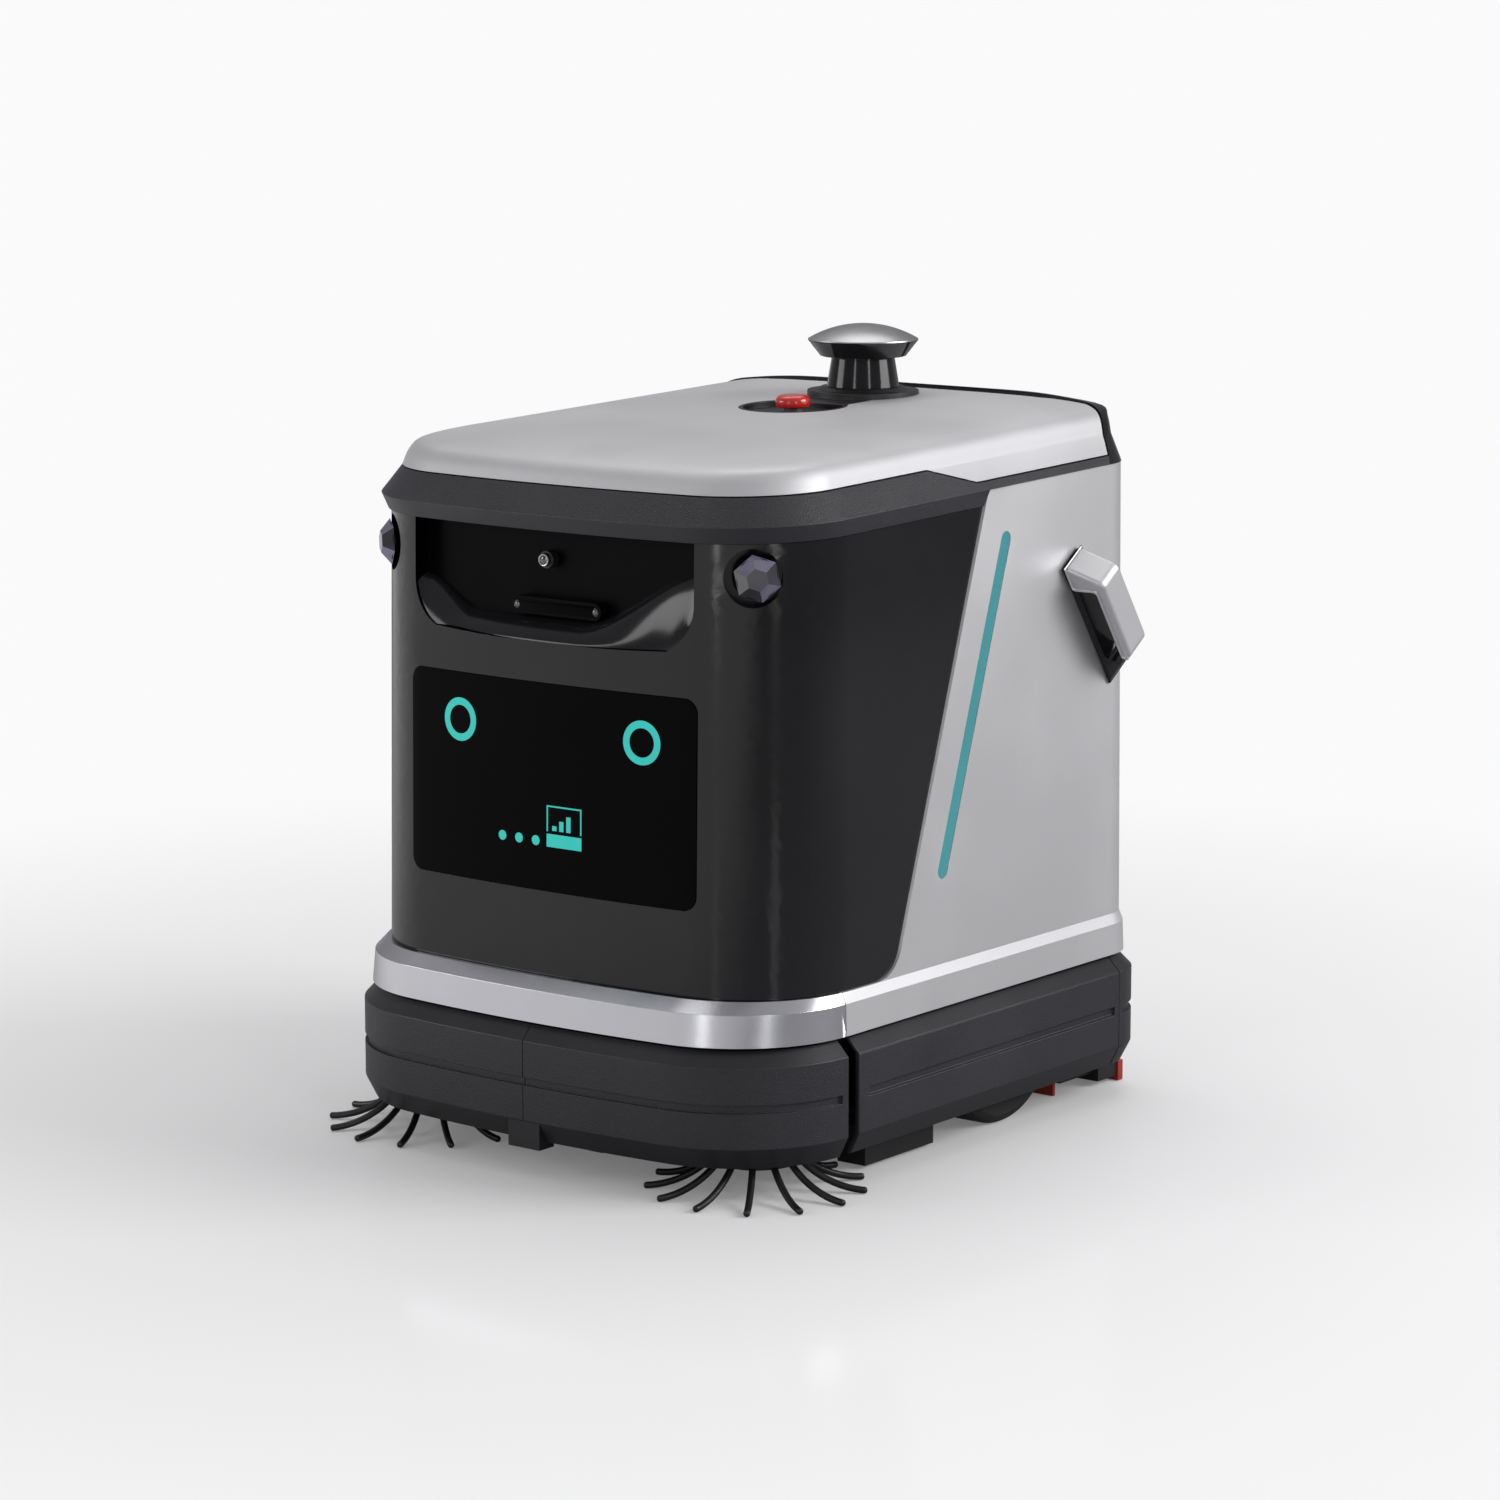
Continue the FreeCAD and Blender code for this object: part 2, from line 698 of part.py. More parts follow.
def top_collar():
    ring = to_top(stack(collar_levels))
    opening = to_top(stack([(-20.0, opening_section), (60.0, opening_section)]))
    ring = ring.cut(opening)
    ring = ring.cut(lid_zone(0.0))
    behind = top_block(-20.0, panel_top_h + seam).cut(window_zone(seam))
    ring = ring.cut(behind)
    ring = ring.cut(rim_zone(rim_gap - seam))
    return ring.removeSplitter()


# ================================================================ front
def screen_window(extra, y1=-200.0):
    return rounded_plate(screen_half_width + extra, screen_low_z - extra, screen_high_z + extra,
                         screen_corner_r + extra, -far, y1)


def bay(grow):
    """Sensor bay: sloping floor, upright back, rounded lower corners."""
    low = bay_low_z - grow
    profile = [(-far, low), (bay_lip_y, low), (bay_back_y + grow, bay_back_z - grow),
               (bay_back_y + grow, far * 2), (-far, far * 2)]
    half = bay_half_width + grow
    solid = prism([(-half, y, z) for y, z in profile], V(2 * half, 0, 0))
    r = bay_corner_r + grow
    face = box(-half, half, -far, 0, low, far * 2)
    lower = [e for e in face.Edges
             if abs(e.tangentAt(e.FirstParameter).y) > 0.99 and e.CenterOfMass.z < low + 1.0]
    return solid.common(face.makeFillet(r, lower))


fascia_corner = corner_centre(fascia_levels[1][1])
fascia_corner_r = fascia_levels[1][1][3]


def pod_rod(r, start, length):
    """Round bar along the corner's radius, start measured inwards from the surface."""
    a = math.radians(pod_angle)
    out = V(math.cos(a), math.sin(a), 0)
    base = V(fascia_corner[0], fascia_corner[1], pod_z) + out * (fascia_corner_r - start - length)
    return Part.makeCylinder(r, length, base, out)


def front_fascia():
    levels = [(z, shrink(section, fascia_wall)) for z, section in fascia_levels]
    inner = stack(levels)
    skin = fascia_outer.cut(inner)
    pocket = fascia_outer.cut(stack(inset_levels(fascia_levels, fascia_wall - 1.0)))
    skin = skin.cut(pocket.common(screen_window(seam)))
    skin = skin.cut(screen_window(-screen_ledge))
    liner = bay(2.5).cut(bay(0.0)).common(inner)
    skin = skin.cut(bay(0.0)).fuse(liner)
    cup = pod_rod(pod_r + 2.5, 1.0, pod_depth + 1.5).common(inner)
    for pod_cup, pod_hole in ((cup, pod_rod(pod_r, -20.0, pod_depth + 20.0)),
                              (mirror(cup), mirror(pod_rod(pod_r, -20.0, pod_depth + 20.0)))):
        skin = skin.fuse(pod_cup).cut(pod_hole)
    low_trim = box(-far, far, -far, far, 0, body_bottom_z + seam)
    skin = skin.common(window_zone(seam)).cut(low_trim).cut(top_block(-seam, 200))
    return skin.removeSplitter()


def display_glass():
    glass = stack(inset_levels(fascia_levels, -0.5))
    glass = glass.cut(stack(inset_levels(fascia_levels, fascia_wall - 1.0)))
    return glass.common(screen_window(0.0))


def display_module():
    half = screen_half_width - screen_ledge - 6.0
    y_front = -bumper_half_length + 52.0
    board = box(-half, half, y_front, y_front + 18.0, screen_low_z + 14, screen_high_z - 14)
    for x in (-half + 12, half - 12):
        for z in (screen_low_z + 26, screen_high_z - 26):
            board = board.fuse(rod(4.0, 9.0, x, y_front - 9.0, z, Y))
    return board


def corner_sensor():
    body = pod_rod(pod_r - 7.0, 5.0, pod_depth - 5.0)
    a = math.radians(pod_angle)
    facets = []
    for k in range(6):
        turn = math.radians(60 * k)
        side = 13.0 * math.cos(turn)
        facets.append((side, 13.0 * math.sin(turn)))
    out = V(math.cos(a), math.sin(a), 0)
    across = V(-math.sin(a), math.cos(a), 0)
    centre = V(fascia_corner[0], fascia_corner[1], pod_z) + out * (fascia_corner_r - 5.0)
    points = [centre + across * s + Z * t for s, t in facets]
    head = Part.Face(Part.makePolygon(points + points[:1])).extrude(out * 4.0)
    return body.fuse(head)


def front_camera():
    barrel = rod(camera_r + 2.0, 8.0, camera_x, bay_back_y - 8.0, camera_z, Y)
    lens = rod(camera_r, 3.0, camera_x, bay_back_y - 11.0, camera_z, Y)
    return barrel.fuse(lens)


def depth_camera():
    span = depth_half_width - depth_r
    bar = box(-span, span, bay_back_y - 12.0, bay_back_y, depth_z - depth_r, depth_z + depth_r)
    for x in (-span, span):
        bar = bar.fuse(rod(depth_r, 12.0, x, bay_back_y - 12.0, depth_z, Y))
    return bar.removeSplitter()


# ================================================================ side handles
def handle_frame(shape):
    """Place a handle drawn as x = outwards, y = across, z = down its length."""
    placed = shape.copy()
    placed.rotate(V(0, 0, 0), X, 270.0 - handle_angle)
    placed.translate(V(handle_plane_x, handle_y, handle_z))
    return placed


def handle_outline(inset):
    """Side view of the handle, reduced by an inset from its outer faces."""
    reach = handle_reach - inset
    points = [(0.0, inset), (reach, handle_upper_run + 0.6 * inset),
              (reach, handle_length - handle_lower_run - 0.3 * inset),
              (0.0, handle_length - inset)]
    half = handle_width / 2 - 0.6 * inset
    solid = prism([(x, -half, z) for x, z in points], V(0, 2 * half, 0))
    across = [e for e in solid.Edges
              if abs(e.tangentAt(e.FirstParameter).y) > 0.99 and e.CenterOfMass.x > 1.0]
    return solid.makeFillet(8.0 - 0.8 * inset, across)


def handle_slot():
    low, high = handle_base, handle_reach - handle_bar
    points = [(low, 17.0), (high, 24.0), (high, handle_length - handle_lower_run - 2.0),
              (low, handle_length - 19.0)]
    opening = prism([(x, -far, z) for x, z in points], V(0, 2 * far, 0))
    across = [e for e in opening.Edges if abs(e.tangentAt(e.FirstParameter).y) > 0.99]
    return opening.makeFillet(6.0, across)


def side_handle():
    core = handle_outline(handle_skin).cut(handle_slot())
    foot = box(-2.0, 3.0, -handle_width / 2 + 1, handle_width / 2 - 1, 4.0, handle_length - 4.0)
    return handle_frame(core.fuse(foot)).cut(stack(shell_levels[2:]))


def handle_cover():
    skin = handle_outline(0.0).cut(handle_outline(handle_skin))
    keep = box(3.0, far, -far, far, -10.0, handle_length - handle_lower_run + 4.0)
    slot_side = box(-far, handle_reach - handle_bar + 1.0, -far, far, handle_upper_run + 9.0, far)
    return handle_frame(skin.common(keep).cut(slot_side))


# ================================================================ lid
def lid_zone(gap):
    """Space above the stepped seam between the collar and the lid."""
    front_h, rear_h = shoulder_h - gap, rear_lid_edge_h - gap
    profile = [(-far, front_h), (step_front_y, front_h), (step_rear_y, rear_h), (far, rear_h),
               (far, 200.0), (-far, 200.0)]
    return to_top(prism([(-far, y, h) for y, h in profile], V(2 * far, 0, 0)))


def barrel_trim():
    """What the lid must give up behind its hinge so that it can turn."""
    block = box(-far, far, hinge_y, far, -50, 200)
    barrel = rod(hinge_barrel_r, 2 * far, -far, hinge_y, hinge_h, X)
    return to_top(block.cut(barrel))


def top_lid():
    levels = collar_levels + dome_levels[1:]
    hollow = [(h if h < shoulder_h else h - lid_wall, shrink(section, lid_wall, lid_wall, lid_wall))
              for h, section in levels]
    shell_solid = top_outer.cut(to_top(stack(hollow)))
    lid = shell_solid.common(lid_zone(-lid_gap)).cut(rim_zone(0.0)).cut(barrel_trim())
    for side in (-1, 1):
        centre = side * hinge_x
        half = hinge_eye_width / 2
        notch = box(centre - half - 1.5, centre + half + 1.5, hinge_y - 12, hinge_y + 20, 0,
                    hinge_h + hinge_eye_r - 0.5)
        lid = lid.cut(to_top(notch))
        for edge in (centre - half - slide_gap - knuckle_width, centre + half + slide_gap):
            knuckle = rod(hinge_eye_r, knuckle_width, edge, hinge_y, hinge_h, X)
            web = box(edge, edge + knuckle_width, hinge_y - hinge_eye_r, hinge_y, hinge_h,
                      dome_h - 2.0)
            lid = lid.fuse(to_top(knuckle.fuse(web)))
        lid = lid.cut(to_top(rod(hinge_pin_r + running_fit, 60.0, centre - 30, hinge_y, hinge_h, X)))
    lid = lid.cut(rod(tower_base_r + seam, far, 0, tower_y, top_z))
    lid = lid.cut(to_top(rod(stop_dish_r + seam, 60.0, 0, stop_y, 40)))
    lid = lid.cut(tower_bridge(seam))
    return lid.removeSplitter()


def hinge_brackets():
    solids = []
    for side in (-1, 1):
        centre = side * hinge_x
        half = hinge_eye_width / 2
        arm = box(centre - half, centre + half, hinge_y - hinge_eye_r, hinge_y + hinge_eye_r,
                  rear_lid_edge_h, hinge_h)
        foot = box(centre - 20, centre + 20, hinge_y - 9, hinge_y + 9, rear_lid_edge_h,
                   rear_lid_edge_h + 4)
        eye = rod(hinge_eye_r, hinge_eye_width, centre - half, hinge_y, hinge_h, X)
        bore = rod(hinge_pin_r, 60.0, centre - 30, hinge_y, hinge_h, X)
        solids.append(to_top(arm.fuse(foot).fuse(eye).cut(bore)))
    return Part.makeCompound(solids)


def hinge_pins():
    half = hinge_eye_width / 2 + slide_gap + knuckle_width
    return Part.makeCompound([
        to_top(rod(hinge_pin_r, 2 * half, side * hinge_x - half, hinge_y, hinge_h, X))
        for side in (-1, 1)])


def tower_bridge(gap):
    """Flat waist that joins the stop dish to the tower's base."""
    back = math.sqrt(stop_dish_r ** 2 - bridge_half_width ** 2)
    points = [(-bridge_half_width - gap, stop_y + back - 4.0, 60.0),
              (bridge_half_width + gap, stop_y + back - 4.0, 60.0),
              (bridge_half_width + gap, tower_y, 60.0), (-bridge_half_width - gap, tower_y, 60.0)]
    return to_top(prism(points, V(0, 0, stop_dish_rim_h - 60.0)))


def tower_plinth():
    base = rod(tower_base_r, tower_base_thick, 0, tower_y, tower_base_z - tower_base_thick)
    collar = cone(tower_low_r + 9.0, tower_low_r + 5.0, 3.0, 0, tower_y, tower_base_z)
    dish = to_top(rod(stop_dish_r, stop_dish_rim_h - 57.0, 0, stop_y, 57.0))
    dish = dish.cut(to_top(rod(stop_dish_r - 4.0, 20.0, 0, stop_y, stop_dish_floor_h)))
    plinth = dish.fuse(base).fuse(collar).fuse(tower_bridge(0.0))
    plinth = plinth.cut(to_top(rod(stop_stem_r + 0.3, 60.0, 0, stop_y, 40)))
    plinth = plinth.fuse(rod(rotor_shaft_r, 20.0, 0, tower_y, tower_base_z))
    return plinth.removeSplitter()


def tower_window():
    low_z = tower_base_z + 3.0
    height = tower_cap_z - low_z
    outer = cone(tower_low_r, tower_high_r, height, 0, tower_y, low_z)
    inner = cone(tower_low_r - 3.0, tower_high_r - 3.0, height, 0, tower_y, low_z)
    return outer.cut(inner)


def tower_rotor():
    low_z = tower_base_z + 5.0
    body = rod(rotor_r, 18.0, 0, tower_y, low_z)
    body = body.cut(rod(rotor_shaft_r + running_fit, 16.0, 0, tower_y, low_z))
    return body.cut(box(-4, 4, tower_y - 25, tower_y - 12, low_z + 4, low_z + 14))


def tower_cap():
    edge = 3.0
    under = cone(tower_high_r + 2.0, tower_rim_r, tower_rim_z - edge - tower_cap_z, 0, tower_y,
                 tower_cap_z)
    rim = rod(tower_rim_r, edge, 0, tower_y, tower_rim_z - edge)
    rise = tower_top_z - tower_rim_z
    ball_r = (tower_rim_r ** 2 + rise ** 2) / (2 * rise)
    ball = Part.makeSphere(ball_r, V(0, tower_y, tower_top_z - ball_r))
    dome = ball.common(box(-far, far, -far, far, tower_rim_z, tower_top_z + 1))
    return under.fuse(rim).fuse(dome).removeSplitter()


def stop_stem():
    stem = rod(stop_stem_r, stop_head_low_h - 46.0, 0, stop_y, 46.0)
    peg = rod(stop_stem_r - 4.0, 4.0, 0, stop_y, stop_head_low_h)
    return to_top(stem.fuse(peg))


def stop_button():
    head = cone(stop_head_r, stop_head_r - 1.0, stop_head_high_h - stop_head_low_h - 2.5, 0, stop_y,
                stop_head_low_h)
    crown = cone(stop_head_r - 1.0, stop_head_r - 5.0, 2.5, 0, stop_y, stop_head_high_h - 2.5)
    bore = rod(stop_stem_r - 4.0 + running_fit, 4.5, 0, stop_y, stop_head_low_h)
    return to_top(head.fuse(crown).cut(bore))


# ================================================================ running gear
def tyre():
    shoulder = 8.0
    half = wheel_width / 2
    mid = wheel_outer_x - half
    profile = [(mid - half, tyre_inner_r), (mid - half, wheel_r - shoulder),
               (mid - half + 3.0, wheel_r - 2.5), (mid - half + shoulder, wheel_r),
               (mid + half - shoulder, wheel_r), (mid + half - 3.0, wheel_r - 2.5),
               (mid + half, wheel_r - shoulder), (mid + half, tyre_inner_r)]
    points = [V(x, axle_y, wheel_r + r) for x, r in profile]
    face = Part.Face(Part.makePolygon(points + points[:1]))
    return face.revolve(V(0, axle_y, wheel_r), X, 360)


def wheel_hub():
    inner = wheel_inner_x + 2.0
    outer = wheel_outer_x - 3.0
    hub = rod(tyre_inner_r - running_fit, outer - inner, inner, axle_y, wheel_r, X)
    dish = rod(tyre_inner_r - 10.0, 8.0, outer - 6.0, axle_y, wheel_r, X)
    boss = rod(20.0, 5.0, outer - 6.0, axle_y, wheel_r, X)
    bore = rod(axle_r + running_fit, 22.0, inner, axle_y, wheel_r, X)
    return hub.cut(dish).fuse(boss).cut(bore)


def suspension_arm():
    pivot = (arm_pivot_y, arm_pivot_z)
    axle = (axle_y, wheel_r)
    link = slot_along_x(pivot, axle, arm_half_width, arm_x, arm_x + arm_thick)
    link = link.cut(rod(pivot_r + running_fit, 30.0, arm_x - 10, arm_pivot_y, arm_pivot_z, X))
    stub = rod(axle_r, wheel_inner_x + 22.0 - arm_x - arm_thick, arm_x + arm_thick, axle_y,
               wheel_r, X)
    return link.fuse(stub)


def caster_fork():
    top = tray_z - 0.3
    wheel_y = caster_y + caster_trail
    head = box(-14, 14, caster_y - 14, wheel_y + 10, top - fork_thick, top)
    fork = head.fuse(rod(swivel_r, 24.0, 0, caster_y, top))
    fork = fork.fuse(rod(swivel_r + 3.0, 2.0, 0, caster_y, tray_z + tray_plate + 14.3))
    for x in (-14.0, 11.0):
        fork = fork.fuse(box(x, x + fork_thick, wheel_y - 9, wheel_y + 9, caster_r - 8, top))
    return fork.fuse(rod(caster_pin_r, 28.0, -14, wheel_y, caster_r, X)).removeSplitter()


def caster_wheel():
    wheel_y = caster_y + caster_trail
    wheel = rod(caster_r, caster_width, -caster_width / 2, wheel_y, caster_r, X)
    rims = [e for e in wheel.Edges if len(e.Vertexes) == 1]
    wheel = wheel.makeFillet(3.0, rims)
    return wheel.cut(rod(caster_pin_r + running_fit, 40.0, -20, wheel_y, caster_r, X))


# ================================================================ cleaning gear
brush_z = brush_r + floor_gap


def brush_deck():
    half = deck_plate_x
    outer_r = deck_cover_r + deck_cover_wall
    cover = rod(outer_r, 2 * half, -half, brush_y, brush_z, X)
    cover = cover.cut(box(-far, far, -far, far, -far, brush_z))
    legs = box(-half, half, brush_y - outer_r, brush_y + outer_r, 10.0, brush_z)
    cover = cover.fuse(legs)
    cover = cover.cut(rod(deck_cover_r, 2 * far, -far, brush_y, brush_z, X))
    cover = cover.cut(box(-far, far, brush_y - deck_cover_r, brush_y + deck_cover_r, 0, brush_z))
    for side in (-1, 1):
        plate = box(deck_plate_x, deck_plate_x + deck_plate_thick, brush_y - outer_r,
                    brush_y + outer_r, 3.0, brush_z + outer_r)
        end = box(deck_plate_x, deck_end_x, deck_front_y, deck_rear_y, 3.0, deck_end_top_z)
        foot = plate.fuse(end)
        foot = foot if side > 0 else mirror(foot)
        cover = cover.fuse(foot)
    gear_case = box(-deck_plate_x - deck_plate_thick, -deck_plate_x, brush_y - 26, brush_y + 26,
                    brush_z + outer_r - 4.0, deck_motor_z + 24.0)
    cover = cover.fuse(gear_case)
    cover = cover.cut(rod(brush_shaft_r + running_fit, 2 * deck_plate_x + 16.0,
                          -deck_plate_x - 8.0, brush_y, brush_z, X))
    return cover.removeSplitter()


def brush_motor():
    return rod(deck_motor_r, 80.0, -deck_plate_x, brush_y, deck_motor_z, X)


def main_brush():
    core = rod(brush_r - 8.0, 2 * brush_half_length, -brush_half_length, brush_y, brush_z, X)
    brush = core.fuse(rod(brush_shaft_r, 2 * deck_plate_x + 14.0, -deck_plate_x - 7.0, brush_y,
                          brush_z, X))
    rows = 6
    for k in range(rows):
        row = box(-brush_half_length, brush_half_length, brush_y - 3.0, brush_y + 3.0,
                  brush_z + brush_r - 9.0, brush_z + brush_r)
        row.rotate(V(0, brush_y, brush_z), X, 360.0 / rows * k)
        brush = brush.fuse(row)
    trim = rod(brush_r, 2 * far, -far, brush_y, brush_z, X)
    return brush.common(trim).removeSplitter()


def side_brush(mirrored):
    hub = rod(side_hub_r, side_hub_high_z - side_hub_low_z, side_brush_x, side_brush_y,
              side_hub_low_z)
    disc = rod(side_disc_r, side_hub_high_z - side_disc_low_z, side_brush_x, side_brush_y,
               side_disc_low_z)
    brush = hub.fuse(disc).cut(rod(side_shaft_r + running_fit, 8.0, side_brush_x, side_brush_y,
                                   side_hub_high_z - 8.0))
    tip = V(side_brush_r - 0.3, 0, bristle_r + 0.6)
    bend = [tip + V(-math.sin(a), 0, 1 - math.cos(a)) * bristle_bend_r
            for a in (math.radians(bristle_sweep), math.radians(bristle_sweep / 2))]
    path = Part.Arc(bend[0], bend[1], tip)
    direction = path.tangent(path.FirstParameter)[0]
    wire = Part.Wire([path.toShape()])
    circle = Part.Wire([Part.makeCircle(bristle_r, bend[0], direction)])
    bristle = wire.makePipeShell([circle], True, False)
    for k in range(bristle_count):
        strand = bristle.copy()
        strand.rotate(V(0, 0, 0), Z, bristle_phase + 360.0 / bristle_count * k)
        strand.translate(V(side_brush_x, side_brush_y, 0))
        brush = brush.fuse(strand)
    return mirror(brush) if mirrored else brush


def side_brush_motors():
    low_z = tray_z + tray_plate
    motor = rod(24.0, 42.0, side_brush_x, side_brush_y, low_z)
    shaft = rod(side_shaft_r, low_z - side_hub_high_z + 7.0, side_brush_x, side_brush_y,
                side_hub_high_z - 7.0)
    unit = motor.fuse(shaft)
    return Part.makeCompound([mirror(unit), unit])


def squeegee_body():
    rear = tip_half_length - blade_thick
    half = squeegee_half_width
    bar = box(-half + 2, half - 2, rear - squeegee_bar_depth, rear, 5.0, 20.0)
    deck = box(-half + 9, half - 9, squeegee_front_y, rear - squeegee_bar_depth + 7, 12.0,
               squeegee_top_z)
    body = bar.fuse(deck)
    for side in (-1, 1):
        body = body.fuse(rod(squeegee_pin_r, 33.0, side * squeegee_pin_x, squeegee_pin_y,
                             squeegee_top_z))
    body = body.cut(rod(hose_r - 3.0, 40.0, suction_x, suction_y, 20.0))
    body = body.cut(box(-half + 24, half - 24, squeegee_front_y + 22, squeegee_front_y + 37, 0, 28))
    return body.removeSplitter()


def squeegee_blades():
    rear = box(-squeegee_half_width, squeegee_half_width, tip_half_length - blade_thick,
               tip_half_length, floor_gap, blade_top_z)
    half = squeegee_half_width - 14.0
    front = box(-half, half, squeegee_front_y - 4.0, squeegee_front_y, floor_gap, 24.0)
    return Part.makeCompound([front, rear])


def suction_hose():
    low_z = squeegee_top_z + deck_lift + 1.0
    length = tank_low_z - low_z
    hose = rod(hose_r, length, suction_x, suction_y, low_z)
    return hose.cut(rod(hose_r - hose_wall, length, suction_x, suction_y, low_z))


# ================================================================ tanks, power and control
def tank(y0, y1, z1, opening_r, opening_y):
    outer = box(-tank_half_width, tank_half_width, y0, y1, tank_low_z, z1)
    upright = [e for e in outer.Edges if abs(e.tangentAt(e.FirstParameter).z) > 0.99]
    outer = outer.makeFillet(20.0, upright)
    inner = box(-tank_half_width + tank_wall, tank_half_width - tank_wall, y0 + tank_wall,
                y1 - tank_wall, tank_low_z + tank_wall, z1 - tank_wall)
    upright = [e for e in inner.Edges if abs(e.tangentAt(e.FirstParameter).z) > 0.99]
    inner = inner.makeFillet(20.0 - tank_wall, upright)
    return outer.cut(inner).cut(rod(opening_r, 20.0, 0, opening_y, z1 - 10.0))


def clean_water_tank():
    body = tank(clean_tank_y[0], clean_tank_y[1], clean_tank_z, clean_cap_r - cap_lip, clean_cap_y)
    corners = box(-far, far, -far, far, 0, far * 2).cut(stack(inset_levels(fascia_levels, 8.0)))
    return body.cut(corners)


def waste_water_tank():
    body = tank(waste_tank_y[0], waste_tank_y[1], waste_tank_z, waste_cap_r - cap_lip - 1.0,
                waste_cap_y)
    return body.cut(rod(hose_r - hose_wall, 20.0, suction_x, 210.0, tank_low_z - 5))


def tank_caps():
    caps = []
    for r, plug_r, y, z in (
            (clean_cap_r, clean_cap_r - cap_lip - slide_gap, clean_cap_y, clean_tank_z),
            (waste_cap_r, waste_cap_r - cap_lip - 1.0 - slide_gap, waste_cap_y, waste_tank_z)):
        caps.append(rod(r, cap_height, 0, y, z).fuse(rod(plug_r, cap_plug, 0, y, z - cap_plug)))
    return Part.makeCompound(caps)


def battery_pack():
    width, depth, height = battery_size
    low_z = tray_z + tray_plate
    pack = box(-width / 2, width / 2, battery_y - depth / 2, battery_y + depth / 2, low_z,
               low_z + height)
    upright = [e for e in pack.Edges if abs(e.tangentAt(e.FirstParameter).z) > 0.99]
    return pack.makeFillet(8.0, upright)


def control_board():
    return box(10, 120, -190, -112, tray_z + tray_plate, tray_z + tray_plate + 34)


def vacuum_motor():
    low_z = tray_z + tray_plate
    housing = rod(fan_r, 60.0, fan_x, fan_y, low_z)
    housing = housing.cut(rod(fan_r - 4.0, 24.0, fan_x, fan_y, low_z + 32.0))
    shaft = rod(impeller_shaft_r, 22.0, fan_x, fan_y, low_z + 32.0)
    return housing.fuse(shaft).removeSplitter()


def vacuum_impeller():
    low_z = tray_z + tray_plate + 34.0
    disc = rod(fan_r - 7.0, 4.0, fan_x, fan_y, low_z).fuse(rod(8.0, 16.0, fan_x, fan_y, low_z))
    for k in range(8):
        vane = box(fan_x + 7.0, fan_x + fan_r - 8.0, fan_y - 1.0, fan_y + 1.0, low_z, low_z + 14.0)
        vane.rotate(V(fan_x, fan_y, 0), Z, 45.0 * k)
        disc = disc.fuse(vane)
    return disc.cut(rod(impeller_shaft_r + running_fit, 40.0, fan_x, fan_y, low_z - 5))


def water_pump():
    low_z = tray_z + tray_plate
    return rod(15.0, 50.0, -9.0, -178.0, low_z + 18.0, Y)


def charge_contacts():
    y_face = bumper_half_length - 10.5
    return Part.makeCompound([contact_bar(side, 0.0, y_face - 9.5, y_face) for side in (-1, 1)])


def power_button():
    y_low = bumper_half_length - 12.0 - power_length
    return rod(power_r, power_length, power_x, y_low, power_z, Y)


def panel_screws():
    screws = []
    for side in (-1, 1):
        for y in (-130.0, 0.0, 200.0):
            head = rod(5.0, 3.0, side * (bumper_half_width - tray_inset + 9.0), y, 66.0)
            screws.append(head)
    return Part.makeCompound(screws)


def nodes():
    bumper_left, bumper_right = front_bumper()
    skirt_left, skirt_right = side_skirt()
    panel, strip = side_panel(), led_strip()
    handle, cover, pod = side_handle(), handle_cover(), corner_sensor()
    arm, wheel, hub = suspension_arm(), tyre(), wheel_hub()
    return {
        "chassis_base": chassis_base(), "inner_frame": inner_frame(),
        "front_fascia": front_fascia(), "display_glass": display_glass(),
        "display_module": display_module(), "front_band": front_band(),
        "side_panel_left": mirror(panel), "side_panel_right": panel,
        "led_strips": pair(strip),
        "rear_cover": rear_cover(), "top_collar": top_collar(),
        "side_skirt_left": skirt_left, "side_skirt_right": skirt_right,
        "rear_skirt": rear_skirt(),
        "side_handle_left": mirror(handle), "side_handle_right": handle,
        "handle_covers": pair(cover),
        "front_camera": front_camera(), "depth_camera": depth_camera(),
        "corner_sensors": pair(pod),
        "battery_pack": battery_pack(), "control_board": control_board(),
        "clean_water_tank": clean_water_tank(), "waste_water_tank": waste_water_tank(),
        "tank_caps": tank_caps(), "vacuum_motor": vacuum_motor(),
        "vacuum_impeller": vacuum_impeller(), "suction_hose": suction_hose(),
        "water_pump": water_pump(), "charge_contacts": charge_contacts(),
        "power_button": power_button(), "panel_screws": panel_screws(),
        "side_brush_motors": side_brush_motors(),
        "front_bumper_left": bumper_left, "front_bumper_right": bumper_right,
        "bumper_bracket": bumper_bracket(),
        "top_lid": top_lid(), "tower_plinth": tower_plinth(), "tower_window": tower_window(),
        "tower_cap": tower_cap(), "tower_rotor": tower_rotor(),
        "stop_stem": stop_stem(), "stop_button": stop_button(),
        "hinge_brackets": hinge_brackets(), "hinge_pins": hinge_pins(),
        "suspension_arm_left": mirror(arm), "suspension_arm_right": arm,
        "drive_tyre_left": mirror(wheel), "drive_tyre_right": wheel,
        "wheel_hub_left": mirror(hub), "wheel_hub_right": hub,
        "caster_fork": caster_fork(), "caster_wheel": caster_wheel(),
        "brush_deck": brush_deck(), "main_brush": main_brush(), "brush_motor": brush_motor(),
        "side_brush_left": side_brush(True), "side_brush_right": side_brush(False),
        "squeegee_body": squeegee_body(), "squeegee_blades": squeegee_blades(),
    }


os.makedirs("parts", exist_ok=True)
for name, shape in nodes().items():
    shape.exportStep("parts/" + name + ".step")
    bounds = shape.BoundBox
    print(name, shape.isValid(), len(shape.Solids), round(shape.Volume / 1000.0, 1),
          [round(v, 1) for v in (bounds.XMin, bounds.XMax, bounds.YMin, bounds.YMax,
                                 bounds.ZMin, bounds.ZMax)])
